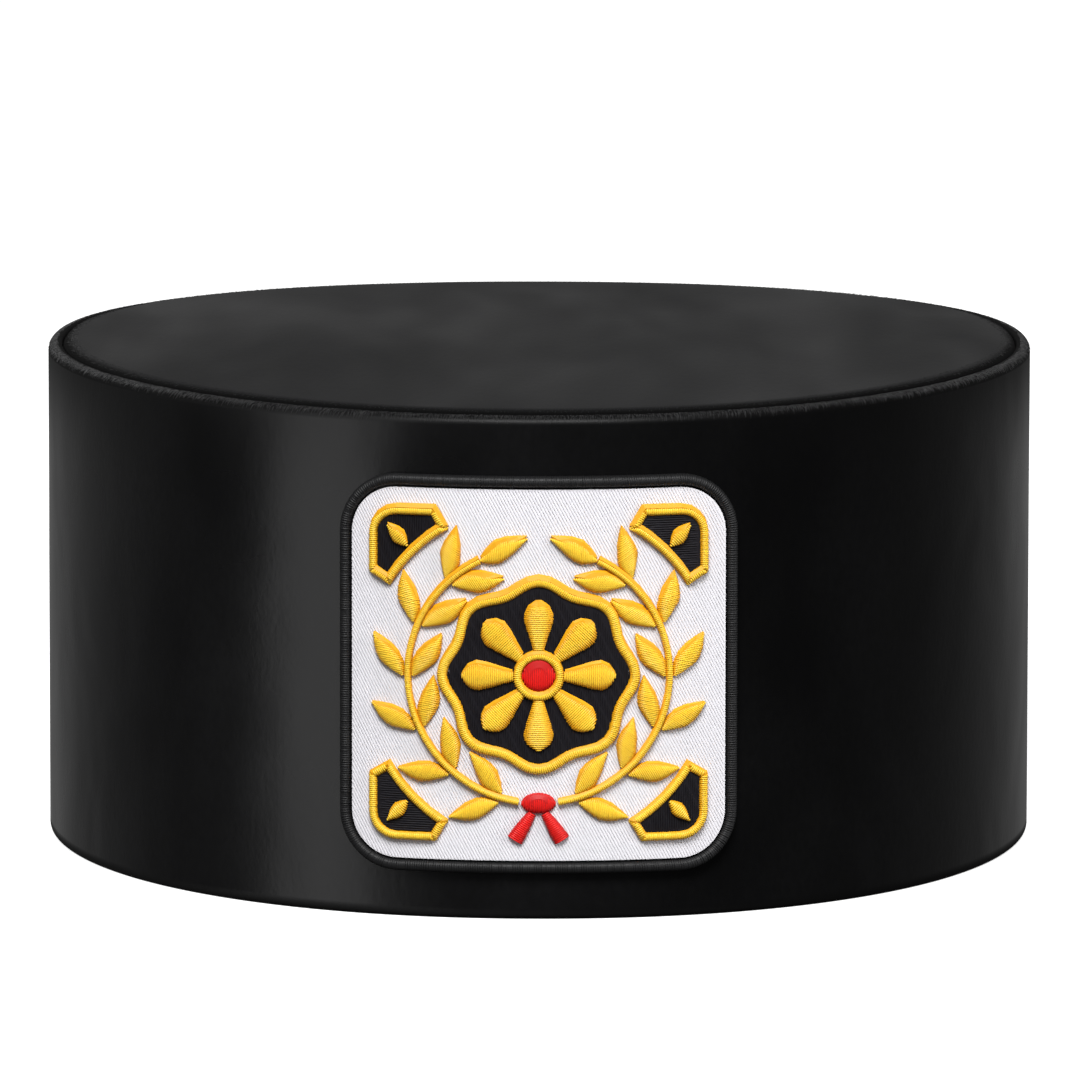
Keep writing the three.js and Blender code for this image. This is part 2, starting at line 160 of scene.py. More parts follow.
def wall_tree():
    """Takes flat work, drawn as round the cap, up it and out from it, and lays it on the leaning wall."""
    tree, given, out = new_tree(
        "Lay on wall",
        "GeometryNodeTree",
        [
            ("Geometry", "NodeSocketGeometry", None),
            ("Lean", "NodeSocketFloat", LEAN),
            ("Height", "NodeSocketFloat", CAP_HEIGHT),
            ("Saddle", "NodeSocketFloat", CROWN_SADDLE),
        ],
        [("Geometry", "NodeSocketGeometry")],
    )
    oval = add_node(tree, "GeometryNodeGroup", node_tree=oval_tree()).outputs["Oval"]
    girth = add_node(tree, "GeometryNodeCurveLength", {0: oval}).outputs[0]
    flat = add_node(tree, "ShaderNodeSeparateXYZ", {0: add_node(tree, "GeometryNodeInputPosition").outputs[0]})
    front = math_node(tree, "MULTIPLY_ADD", girth, 0.75, flat.outputs[0])
    spot = add_node(
        tree,
        "GeometryNodeSampleCurve",
        {"Curves": oval, "Length": math_node(tree, "FLOORED_MODULO", front, girth)},
        mode="LENGTH",
    )
    outward = add_node(
        tree,
        "ShaderNodeVectorMath",
        {0: spot.outputs["Tangent"], 1: (0, 0, 1)},
        operation="CROSS_PRODUCT",
    )
    share = math_node(tree, "DIVIDE", flat.outputs[1], given["Height"])
    leaned = math_node(tree, "SUBTRACT", flat.outputs[2], math_node(tree, "MULTIPLY", share, given["Lean"]))
    moved = add_node(
        tree,
        "ShaderNodeVectorMath",
        {0: outward.outputs[0], 1: leaned, 2: spot.outputs["Position"]},
        operation="MULTIPLY_ADD",
    )
    pull = add_node(tree, "GeometryNodeInputNamedAttribute", {"Name": "pull"}, data_type="FLOAT").outputs[0]
    kept = math_node(tree, "SUBTRACT", 1.0, pull)
    shrunk = add_node(
        tree,
        "ShaderNodeVectorMath",
        {
            0: moved.outputs[0],
            1: add_node(tree, "ShaderNodeCombineXYZ", {0: kept, 1: kept, 2: 1.0}).outputs[0],
            2: add_node(tree, "ShaderNodeCombineXYZ", {2: flat.outputs[1]}).outputs[0],
        },
        operation="MULTIPLY_ADD",
    )
    laid = add_node(tree, "ShaderNodeSeparateXYZ", {0: shrunk.outputs[0]})
    parts = [
        math_node(tree, "POWER", math_node(tree, "DIVIDE", laid.outputs[axis], size), 2.0)
        for axis, size in ((0, HALF_WIDTH), (1, HALF_LENGTH))
    ]
    lift = math_node(tree, "MULTIPLY", math_node(tree, "SUBTRACT", *parts), given["Saddle"])
    high = math_node(tree, "MULTIPLY_ADD", lift, share, laid.outputs[2])
    saddled = add_node(tree, "ShaderNodeCombineXYZ", {0: laid.outputs[0], 1: laid.outputs[1], 2: high})
    placed = add_node(tree, "GeometryNodeSetPosition", {0: given["Geometry"], 2: saddled.outputs[0]})
    tree.links.new(placed.outputs[0], out["Geometry"])
    return tree


lay_on_wall = wall_tree()


def girth_of_cap():
    """The length once round the outer oval, as fine as the tree's own curve."""
    steps = 720
    ring = []
    for i in range(steps):
        turn = 2 * math.pi * i / steps
        across, along = math.cos(turn), math.sin(turn)
        reach = (abs(across) ** OVAL_POWER + abs(along) ** OVAL_POWER) ** (-1 / OVAL_POWER)
        ring.append(Vector((HALF_WIDTH * across * reach, HALF_LENGTH * along * reach)))
    return sum((ring[i] - ring[i - 1]).length for i in range(steps))


GIRTH = girth_of_cap()


def arc(centre, radius, start, end, steps):
    """Points (out, height) round an arc, from one angle to another in degrees."""
    turns = [math.radians(start + (end - start) * i / steps) for i in range(steps + 1)]
    return [(centre[0] + radius * math.cos(t), centre[1] + radius * math.sin(t)) for t in turns]


def ring_mesh(name, rows, closed, side_rows=None):
    """A flat mesh of rings for the wall tree, from rows of out, height, pull inwards and painted shade, which paints
    the velvet darker and rougher. The painted shade of the side rows takes over towards the cap's two sides."""
    mesh = bpy.data.meshes.new(name)
    points = []
    pulls = []
    painted_shades = []
    for (out, height, pull, painted_shade), (_, _, _, side_painted_shade) in zip(rows, side_rows or rows):
        for i in range(ROUND_STATIONS):
            aside = math.sin(2 * math.pi * i / ROUND_STATIONS) ** 2
            points.append((GIRTH * i / ROUND_STATIONS, height, out))
            pulls.append(pull)
            painted_shades.append(painted_shade + (side_painted_shade - painted_shade) * aside)
    faces = []
    count = len(rows)
    for row in range(count if closed else count - 1):
        for i in range(ROUND_STATIONS):
            after = (i + 1) % ROUND_STATIONS
            upper = (row + 1) % count
            faces.append((
                row * ROUND_STATIONS + i,
                row * ROUND_STATIONS + after,
                upper * ROUND_STATIONS + after,
                upper * ROUND_STATIONS + i,
            ))
    mesh.from_pydata(points, [], faces)
    mesh.attributes.new("pull", "FLOAT", "POINT").data.foreach_set("value", pulls)
    mesh.attributes.new("painted_shade", "FLOAT", "POINT").data.foreach_set("value", painted_shades)
    return mesh


def run_tree(name, mesh, tree, values):
    """A plain mesh object made by running a tree on a mesh, with its inputs set by name of socket."""
    piece = bpy.data.objects.new(name, mesh)
    bpy.context.scene.collection.objects.link(piece)
    modifier = piece.modifiers.new("make", "NODES")
    modifier.node_group = tree
    for socket in tree.interface.items_tree:
        if socket.in_out == "INPUT" and socket.name in values:
            modifier[socket.identifier] = values[socket.name]
    bpy.context.view_layer.update()
    made = bpy.data.meshes.new_from_object(piece.evaluated_get(bpy.context.evaluated_depsgraph_get()))
    piece.modifiers.clear()
    piece.data = made
    made.name = name
    return piece


def velvet_shell_tree():
    """Lays a velvet shell on the wall, closes its ends and makes it slightly uneven above the hem."""
    tree, given, out = new_tree(
        "Velvet shell",
        "GeometryNodeTree",
        [
            ("Geometry", "NodeSocketGeometry", None),
            ("Unevenness", "NodeSocketFloat", UNEVENNESS),
            ("Scale", "NodeSocketFloat", UNEVENNESS_SCALE),
            ("Material", "NodeSocketMaterial", None),
        ],
        [("Geometry", "NodeSocketGeometry")],
    )
    laid = add_node(tree, "GeometryNodeGroup", {"Geometry": given["Geometry"]}, node_tree=lay_on_wall)
    merged = add_node(
        tree, "GeometryNodeMergeByDistance", {"Geometry": laid.outputs[0], "Distance": 0.00001}
    )
    noise = add_node(
        tree,
        "ShaderNodeTexNoise",
        {"Scale": given["Scale"], "Detail": 2.0, "Roughness": 0.4},
        noise_dimensions="3D",
    )
    place = add_node(tree, "ShaderNodeSeparateXYZ", {0: add_node(tree, "GeometryNodeInputPosition").outputs[0]})
    clear = ramp(tree, place.outputs[2], 0.0, 1.0, 0.0, 0.004)
    height = math_node(tree, "MULTIPLY", math_node(tree, "SUBTRACT", noise.outputs[0], 0.5), clear)
    normal = add_node(tree, "GeometryNodeInputNormal").outputs[0]
    push = add_node(
        tree,
        "ShaderNodeVectorMath",
        {0: normal, "Scale": math_node(tree, "MULTIPLY", height, given["Unevenness"])},
        operation="SCALE",
    )
    moved = add_node(tree, "GeometryNodeSetPosition", {0: merged.outputs[0], 3: push.outputs[0]})
    smooth = add_node(tree, "GeometryNodeSetShadeSmooth", {0: moved.outputs[0]})
    dressed = add_node(tree, "GeometryNodeSetMaterial", {0: smooth.outputs[0], "Material": given["Material"]})
    real = add_node(tree, "GeometryNodeRealizeInstances", {0: dressed.outputs[0]})
    tree.links.new(real.outputs[0], out["Geometry"])
    return tree


velvet_shell = velvet_shell_tree()


def pile_group():
    """The look of brushed pile: broad patches where it lies another way, and a fine grain of fibre ends."""
    tree, given, out = new_tree(
        "Brushed pile",
        "ShaderNodeTree",
        [
            ("Patch Scale", "NodeSocketFloat", 34.0),
            ("Grain Scale", "NodeSocketFloat", 900.0),
            ("Stretch", "NodeSocketVector", (1.0, 1.0, 0.35)),
        ],
        [("Patches", "NodeSocketFloat"), ("Grain", "NodeSocketFloat")],
    )
    place = add_node(tree, "ShaderNodeTexCoord").outputs["Object"]
    brushed = add_node(
        tree, "ShaderNodeVectorMath", {0: place, 1: given["Stretch"]}, operation="MULTIPLY"
    ).outputs[0]
    patches = add_node(
        tree,
        "ShaderNodeTexNoise",
        {"Vector": brushed, "Scale": given["Patch Scale"], "Detail": 2.0, "Roughness": 0.5, "Distortion": 0.3},
    )
    grain = add_node(
        tree,
        "ShaderNodeTexNoise",
        {"Vector": brushed, "Scale": given["Grain Scale"], "Detail": 3.0, "Roughness": 0.6},
    )
    tree.links.new(patches.outputs[0], out["Patches"])
    tree.links.new(grain.outputs[0], out["Grain"])
    return tree


brushed_pile = pile_group()


def new_material(name):
    """An empty material's node tree with its output node, and the material."""
    material = bpy.data.materials.new(name)
    material.use_nodes = True
    tree = material.node_tree
    tree.nodes.clear()
    return material, tree, tree.nodes.new("ShaderNodeOutputMaterial").inputs["Surface"]


def mix_colours(tree, share, first, second):
    """The colour socket of a mix of two colours."""
    node = add_node(tree, "ShaderNodeMix", {0: share, 6: first, 7: second}, data_type="RGBA")
    return node.outputs[2]


def velvet_material(name, deep, lit, stretch, smoothest, roughest, fibre_bump):
    """Black velvet: greyer where the pile is brushed up, and painted black and rougher where painted shade falls: in
    the seam, at the hem and round the roll.
    """
    material, tree, surface = new_material(name)
    pile = add_node(tree, "ShaderNodeGroup", {"Stretch": stretch}, node_tree=brushed_pile)
    patches, grain = pile.outputs["Patches"], pile.outputs["Grain"]
    share = math_node(tree, "MULTIPLY", ramp(tree, patches, 0.15, 1.0), ramp(tree, grain, 0.55, 1.0))
    # Painted shade: this attribute mixes the colour towards a painted black and adds roughness.
    painted_shade = add_node(tree, "ShaderNodeAttribute", attribute_name="painted_shade").outputs["Fac"]
    lie = add_node(tree, "ShaderNodeBump", {"Strength": 0.8, "Distance": 0.0008, "Height": patches})
    bump = add_node(
        tree,
        "ShaderNodeBump",
        {"Strength": fibre_bump, "Distance": 0.0002, "Height": grain, "Normal": lie.outputs[0]},
    )
    rough = ramp(tree, patches, smoothest, roughest)
    shader = add_node(
        tree,
        "ShaderNodeBsdfPrincipled",
        {
            "Base Color": mix_colours(tree, painted_shade, mix_colours(tree, share, deep, lit), VELVET_PAINTED_SHADE),
            "Roughness": math_node(tree, "ADD", rough, math_node(tree, "MULTIPLY", painted_shade, 0.6)),
            "Specular IOR Level": 0.1,
            "Normal": bump.outputs[0],
        },
    )
    tree.links.new(shader.outputs[0], surface)
    return material


VELVET_DEEP = (0.0016, 0.0016, 0.0018, 1)
VELVET_LIT = (0.005, 0.005, 0.0054, 1)
# Painted shade: the black that the velvet is painted in the seam, at the hem and on the roll.
VELVET_PAINTED_SHADE = (0.0004, 0.0004, 0.0004, 1)
WALL_DEEP = (0.0015, 0.0015, 0.0016, 1)
WALL_LIT = (0.0053, 0.0053, 0.0056, 1)
wall_velvet = velvet_material("wall velvet", WALL_DEEP, WALL_LIT, (1.0, 1.0, 0.6), 0.25, 0.33, 0.12)


def band_rows(roll_painted_shade, wall_painted_shade):
    """The band's section: the hem, the outer face, the roll, the lip of the seam and the inner face."""
    roll_level = CAP_HEIGHT - ROLL_RADIUS
    lip = CAP_HEIGHT - SEAM_DEPTH
    outer_steps = 32
    inner_steps = 10
    section = arc((-HEM_RADIUS, HEM_RADIUS), HEM_RADIUS, -90, 0, 6)
    span = roll_level - HEM_RADIUS
    section.append((0.0, HEM_RADIUS + HEM_FADE))
    section += [(0.0, HEM_RADIUS + span * i / outer_steps) for i in range(1, outer_steps)]
    section += arc((-ROLL_RADIUS, roll_level), ROLL_RADIUS, 0, 90, 10)
    for i in range(1, 5):
        share = i / 4
        back = ROLL_RADIUS + (WALL - ROLL_RADIUS) * (1 - (1 - share) ** 2)
        section.append((-back, CAP_HEIGHT - SEAM_DEPTH * share ** 2))
    section += [(-WALL, lip - (lip - HEM_RADIUS) * i / inner_steps) for i in range(1, inner_steps)]
    section += arc((HEM_RADIUS - WALL, HEM_RADIUS), HEM_RADIUS, 180, 270, 6)
    rows = []
    for out, height in section:
        # The fourth value is painted shade: black in the seam, dark at the hem, on the roll towards the seam and more
        # at the sides, and on the wall just under the roll at the sides.
        in_seam = height > lip - 0.001 and out < -ROLL_RADIUS
        on_roll = height > roll_level and not in_seam
        at_hem = HEM_SHADE * (height <= HEM_RADIUS)
        near_seam = min(1.0, max(0.0, (-out / ROLL_RADIUS - 0.5) / 0.4)) * on_roll
        rolled = (roll_painted_shade + (1 - roll_painted_shade) * near_seam) * on_roll
        if out == 0.0:
            rolled = wall_painted_shade * max(0.0, 1 - (roll_level - height) / PAINTED_SHADE_REACH) ** 2
        rows.append((out, height, 0.0, 1.0 if in_seam else max(at_hem, rolled)))
    return rows


def add_back_seam(mesh):
    """Sinks the joining seam of the band into its outer face, up the middle of the back."""
    for vertex in mesh.vertices:
        aside = abs(vertex.co.x - GIRTH / 2)
        if vertex.co.z > -ROLL_RADIUS * 0.9 and aside < BACK_SEAM_WIDTH * 3:
            vertex.co.z -= BACK_SEAM_DEPTH * math.exp(-((aside / BACK_SEAM_WIDTH) ** 2) * 2)
    return mesh


front_rows = band_rows(*FRONT_PAINTED_SHADE)
side_rows = band_rows(*SIDE_PAINTED_SHADE)
band_mesh = add_back_seam(ring_mesh("velvet_band", front_rows, closed=True, side_rows=side_rows))
band = run_tree("velvet_band", band_mesh, velvet_shell, {"Material": wall_velvet})
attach(band, "root")
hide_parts("side_band")

# Top panel: a flat oval of the same velvet over a soft pad, so that its edge is pillowed and its middle
# stands a little higher. It is sewn edge to edge inside the band's roll.
SEAM_GAP = 0.0003
SEAM_LAP = 0.0002
PANEL_THICKNESS = 0.0025
PILLOW_WIDTH = 0.003
PILLOW_RISE = 0.0013
PANEL_DOME = 0.0006
panel_velvet = velvet_material("panel velvet", VELVET_DEEP, VELVET_LIT, (1.0, 0.28, 1.0), 0.38, 0.56, 0.3)


def panel_rows():
    """The panel's section, from the middle of its underside out to the edge and back over the dome."""
    edge = -WALL - SEAM_GAP
    level = CAP_HEIGHT - SEAM_DEPTH
    under = CAP_HEIGHT - PANEL_THICKNESS
    under_pulls = (1.0, 0.7, 0.4, 0.15)
    sewn = SEAM_GAP + SEAM_LAP
    rows = [(edge + sewn, under, pull, 0.0) for pull in under_pulls]
    # Painted shade: the panel's edge down in the seam is painted black, and the painting fades over the lower part of
    # the pillow.
    rows += [(edge + sewn * (1 - i / 3), under + (level - under) * i / 3, 0.0, 1.0) for i in range(4)]
    for i in range(1, 13):
        turn = math.pi / 2 * i / 12
        out = edge - PILLOW_WIDTH * (1 - math.cos(turn))
        rows.append((out, level + PILLOW_RISE * math.sin(turn), 0.0, min(1.0, max(0.0, (1.1 - turn) / 0.5))))
    shoulder = edge - PILLOW_WIDTH
    rings = 30
    for i in range(1, rings + 1):
        share = 1 - i / rings
        rows.append((shoulder, level + PILLOW_RISE + PANEL_DOME * (1 - share * share), 1 - share, 0.0))
    return rows


panel = run_tree(
    "velvet_panel",
    ring_mesh("velvet_panel", panel_rows(), closed=False),
    velvet_shell,
    {"Material": panel_velvet},
)
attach(panel, "root")
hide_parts("top_panel")

# Nap at the seam: the cut pile of both edges is caught in the stitching and combed outwards over it, as
# short loose fibres that lie over the crest of the roll and over the pillowed edge of the panel.
FIBRE_PITCH = 0.00018
FIBRE_LENGTH = 0.0013
FIBRE_RADIUS = 0.000045
FIBRE_LIFT = 0.00012
FIBRE_SPREAD = 0.28


def line_mesh(name, lines, **fields):
    """A mesh of bare polylines, given as lists of points and a closed flag, with a list for each field."""
    points = []
    edges = []
    for line, closed in lines:
        first = len(points)
        points += [tuple(point) for point in line]
        edges += [(first + i, first + i + 1) for i in range(len(line) - 1)]
        if closed:
            edges.append((len(points) - 1, first))
    mesh = bpy.data.meshes.new(name)
    mesh.from_pydata(points, edges, [])
    for field, values in fields.items():
        if isinstance(values[0], (tuple, Vector)):
            flat = [part for value in values for part in value]
            mesh.attributes.new(field, "FLOAT_VECTOR", "POINT").data.foreach_set("vector", flat)
        else:
            mesh.attributes.new(field, "FLOAT", "POINT").data.foreach_set("value", values)
    return mesh


def finish_tree(tree, out, geometry, material):
    """Ends a tree: lays the flat work on the wall, realizes its instances and sets its material."""
    laid = add_node(tree, "GeometryNodeGroup", {"Geometry": geometry}, node_tree=lay_on_wall)
    real = add_node(tree, "GeometryNodeRealizeInstances", {0: laid.outputs[0]})
    dressed = add_node(tree, "GeometryNodeSetMaterial", {0: real.outputs[0], "Material": material})
    tree.links.new(dressed.outputs[0], out["Geometry"])
    return tree


def random_vector(tree, low, high, seed):
    """A random vector between two corners, another for each point."""
    node = add_node(tree, "FunctionNodeRandomValue", {0: low, 1: high, "Seed": seed}, data_type="FLOAT_VECTOR")
    return node.outputs[0]


def nap_tree():
    """Short tapered fibres that lie over a rounded edge, each leaning its own way."""
    tree, given, out = new_tree(
        "Seam nap",
        "GeometryNodeTree",
        [
            ("Geometry", "NodeSocketGeometry", None),
            ("Pitch", "NodeSocketFloat", FIBRE_PITCH),
            ("Length", "NodeSocketFloat", FIBRE_LENGTH),
            ("Radius", "NodeSocketFloat", FIBRE_RADIUS),
            ("Lift", "NodeSocketFloat", FIBRE_LIFT),
            ("Spread", "NodeSocketFloat", FIBRE_SPREAD),
            ("Edge Out", "NodeSocketFloat", -ROLL_RADIUS),
            ("Edge Level", "NodeSocketFloat", CAP_HEIGHT - ROLL_RADIUS),
            ("Edge Width", "NodeSocketFloat", ROLL_RADIUS),
            ("Edge Rise", "NodeSocketFloat", ROLL_RADIUS),
            ("Seed", "NodeSocketInt", 11),
            ("Material", "NodeSocketMaterial", None),
        ],
        [("Geometry", "NodeSocketGeometry")],
    )
    path = add_node(tree, "GeometryNodeMeshToCurve", {0: given["Geometry"]})
    roots = add_node(
        tree, "GeometryNodeResampleCurve", {"Curve": path.outputs[0], "Length": given["Pitch"]}, mode="LENGTH"
    )
    jitter = random_vector(tree, (-0.0002, -0.0004, 0.0), (0.0002, 0.0004, 0.0), given["Seed"])
    spread = add_node(tree, "GeometryNodeSetPosition", {0: roots.outputs[0], 3: jitter})
    hair = add_node(tree, "GeometryNodeCurvePrimitiveLine", {0: (0, 0, 0), 1: (0, 1, 0)})
    stepped = add_node(tree, "GeometryNodeResampleCurve", {"Curve": hair.outputs[0], "Count": 4})
    lean = math_node(tree, "MULTIPLY", given["Spread"], -1.0)
    turn = add_node(
        tree,
        "FunctionNodeRandomValue",
        {2: lean, 3: given["Spread"], "Seed": given["Seed"]},
        data_type="FLOAT",
    )
    size = add_node(tree, "FunctionNodeRandomValue", {2: 0.35, 3: 1.0, "Seed": given["Seed"]}, data_type="FLOAT")
    hairs = add_node(
        tree,
        "GeometryNodeInstanceOnPoints",
        {
            "Points": spread.outputs[0],
            "Instance": stepped.outputs[0],
            "Rotation": add_node(tree, "ShaderNodeCombineXYZ", {2: turn.outputs[1]}).outputs[0],
            "Scale": math_node(tree, "MULTIPLY", size.outputs[1], given["Length"]),
        },
    )
    real = add_node(tree, "GeometryNodeRealizeInstances", {0: hairs.outputs[0]})
    share = add_node(tree, "GeometryNodeSplineParameter").outputs["Factor"]
    place = add_node(tree, "ShaderNodeSeparateXYZ", {0: add_node(tree, "GeometryNodeInputPosition").outputs[0]})
    lift = math_node(tree, "MULTIPLY", share, given["Lift"])
    wide = math_node(tree, "ADD", given["Edge Width"], lift)
    high = math_node(tree, "ADD", given["Edge Rise"], lift)
    round_way = math_node(tree, "MULTIPLY", math_node(tree, "ADD", given["Edge Width"], given["Edge Rise"]), 0.5)
    angle = math_node(tree, "DIVIDE", place.outputs[1], round_way)
    out_way = math_node(tree, "MULTIPLY_ADD", math_node(tree, "SINE", angle), wide, given["Edge Out"])
    level = math_node(tree, "MULTIPLY_ADD", math_node(tree, "COSINE", angle), high, given["Edge Level"])
    wrapped = add_node(
        tree,
        "GeometryNodeSetPosition",
        {
            0: real.outputs[0],
            2: add_node(tree, "ShaderNodeCombineXYZ", {0: place.outputs[0], 1: level, 2: out_way}).outputs[0],
        },
    )
    ring = add_node(tree, "GeometryNodeCurvePrimitiveCircle", {"Resolution": 3, "Radius": given["Radius"]})
    tube = add_node(
        tree,
        "GeometryNodeCurveToMesh",
        {"Curve": wrapped.outputs[0], "Profile Curve": ring.outputs[0], "Fill Caps": True},
    )
    if "Scale" in tube.inputs:
        tree.links.new(ramp(tree, share, 1.0, 0.25, 0.2, 1.0), tube.inputs["Scale"])
    return finish_tree(tree, out, tube.outputs[0], given["Material"])


def nap_material(name, deep, lit):
    """Loose black pile with painted light: greyer high over the seam than at its tips on the wall, and at the front
    than at the sides, in random patches."""
    material, tree, surface = new_material(name)
    place = add_node(tree, "ShaderNodeTexCoord").outputs["Object"]
    axes = add_node(tree, "ShaderNodeSeparateXYZ", {0: place})
    # Painted light: the pile is painted lighter high on the crest, and painted shade darkens it towards the cap's
    # sides.
    upright = ramp(tree, axes.outputs[2], 0.3, 1.0, CAP_HEIGHT - 0.0015, CAP_HEIGHT - 0.0003)
    aside = math_node(tree, "ABSOLUTE", axes.outputs[0])
    painted_light = math_node(tree, "MULTIPLY", upright, ramp(tree, aside, 1.0, 0.45, 0.03, 0.09))
    tone = add_node(tree, "ShaderNodeTexNoise", {"Vector": place, "Scale": 300.0, "Detail": 1.0}).outputs[0]
    shader = add_node(
        tree,
        "ShaderNodeBsdfPrincipled",
        {
            "Base Color": mix_colours(
                tree,
                math_node(tree, "MULTIPLY", tone, painted_light),
                (*deep, 1),
                (*lit, 1),
            ),
            "Roughness": 0.5,
            "Specular IOR Level": 0.35,
        },
    )
    tree.links.new(shader.outputs[0], surface)
    return material


def nap_lines(starts):
    """Rows of fibre roots round the whole cap, each a distance out from the top of its edge."""
    return [([(GIRTH * i / 360, start, 0.0) for i in range(361)], False) for start in starts]


# Painted light: the same loose pile in two copies, the panel's painted darker than the roll's as painted shade.
roll_pile = nap_material("loose pile on the roll", (0.008, 0.008, 0.008), (0.08, 0.08, 0.082))
panel_pile_shaded = nap_material("loose pile on the panel", (0.008, 0.008, 0.008), (0.04, 0.04, 0.041))
seam_nap = nap_tree()
roll_nap = run_tree("roll_nap", line_mesh("roll_nap", nap_lines((0.0002, 0.0008))), seam_nap, {"Material": roll_pile})
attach(roll_nap, "root")
panel_edge = {
    "Edge Out": -WALL - SEAM_GAP - PILLOW_WIDTH,
    "Edge Level": CAP_HEIGHT - SEAM_DEPTH,
    "Edge Width": PILLOW_WIDTH,
    "Edge Rise": PILLOW_RISE,
    "Length": 0.0007,
    "Pitch": 0.0005,
    "Radius": 0.00003,
    "Seed": 12,
    "Material": panel_pile_shaded,
}
panel_nap = run_tree("panel_nap", line_mesh("panel_nap", nap_lines((0.0006, 0.0013))), seam_nap, panel_edge)
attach(panel_nap, "root")

# Patch ground: a square of stiff white twill with round corners, laid on the front of the band. Its steep
# diagonal ribs are the weave itself, so they are modelled on top of the cloth.
PATCH_SIZE = 0.0696
PATCH_CORNER = 0.0105
PATCH_HEIGHT = 0.043
PATCH_GAP = 0.0003
GROUND_THICKNESS = 0.0008
BORDER_WIDTH = 0.0021
BORDER_GAP = 0.00025
RIB_PITCH = 0.00048
RIB_ANGLE = 118.0
RIB_WIDTH = 0.00046
RIB_HEIGHT = 0.00003
TWILL_LIT = (0.845, 0.83, 0.87, 1)
TWILL_DEEP = (0.67, 0.655, 0.70, 1)
GROUND_STEP = 0.0008
GROUND_HALF = PATCH_SIZE / 2 - BORDER_WIDTH - BORDER_GAP
GROUND_CORNER = PATCH_CORNER - BORDER_WIDTH - BORDER_GAP


def on_patch(right, up, out):
    """A point of the patch, from its middle and its back, in the wall's own flat measure."""
    return (right, PATCH_HEIGHT + up, PATCH_GAP + out)


def rounded_square(half, corner, step):
    """The outline of a square with round corners, counter-clockwise, with points no further than a step."""
    outline = []
    flat = half - corner
    arc_steps = max(2, math.ceil(math.pi / 2 * corner / step))
    for turn, centre in enumerate(((flat, flat), (-flat, flat), (-flat, -flat), (flat, -flat))):
        for i in range(arc_steps + 1):
            angle = math.pi / 2 * (turn + i / arc_steps)
            outline.append(Vector((centre[0] + corner * math.cos(angle), centre[1] + corner * math.sin(angle))))
    return subdivided(outline, step)


def subdivided(outline, step):
    """A closed outline with its long sides cut into steps."""
    fine = []
    for i, point in enumerate(outline):
        after = outline[(i + 1) % len(outline)]
        count = max(1, math.ceil((after - point).length / step - 0.001))
        fine += [point.lerp(after, part / count) for part in range(count)]
    return fine


def rows_inside(outline, angle, pitch, start=0.5):
    """Straight rows across a closed outline, as pairs of end points, with a row's number."""
    heading = Vector((math.cos(math.radians(angle)), math.sin(math.radians(angle))))
    across = Vector((-heading.y, heading.x))
    reach = [point.dot(across) for point in outline]
    rows = []
    number = math.floor(min(reach) / pitch)
    while number * pitch < max(reach):
        level = (number + start) * pitch
        cuts = []
        for i, point in enumerate(outline):
            after = outline[(i + 1) % len(outline)]
            near, far = point.dot(across) - level, after.dot(across) - level
            if (near < 0) != (far < 0):
                cuts.append(point.lerp(after, near / (near - far)).dot(heading))
        cuts.sort()
        rows += [
            (number, across * level + heading * low, across * level + heading * high)
            for low, high in zip(cuts[::2], cuts[1::2])
        ]
        number += 1
    return rows


def ground_mesh():
    """The cloth of the patch: upright strips that can bend round the cap, closed all round."""
    flat = GROUND_HALF - GROUND_CORNER
    count = math.ceil(GROUND_HALF * 2 / GROUND_STEP)
    mesh = bmesh.new()
    rings = []
    for i in range(count + 1):
        right = -GROUND_HALF * math.cos(math.pi * i / count)
        past = max(0.0, abs(right) - flat)
        high = flat + math.sqrt(max(0.0, GROUND_CORNER ** 2 - past ** 2))
        corners = ((-high, 0), (high, 0), (high, GROUND_THICKNESS), (-high, GROUND_THICKNESS))
        rings.append([mesh.verts.new(on_patch(right, up, out)) for up, out in corners])
    for left, right in zip(rings, rings[1:]):
        for i in range(4):
            mesh.faces.new((left[i], left[(i + 1) % 4], right[(i + 1) % 4], right[i]))
    mesh.faces.new(rings[0][::-1])
    mesh.faces.new(rings[-1])
    bmesh.ops.recalc_face_normals(mesh, faces=mesh.faces)
    made = bpy.data.meshes.new("twill_ground")
    mesh.to_mesh(made)
    mesh.free()
    return made


def cloth_tree():
    """Lays a flat closed piece on the wall."""
    tree, given, out = new_tree(
        "Laid cloth",
        "GeometryNodeTree",
        [("Geometry", "NodeSocketGeometry", None), ("Material", "NodeSocketMaterial", None)],
        [("Geometry", "NodeSocketGeometry")],
    )
    return finish_tree(tree, out, given["Geometry"], given["Material"])


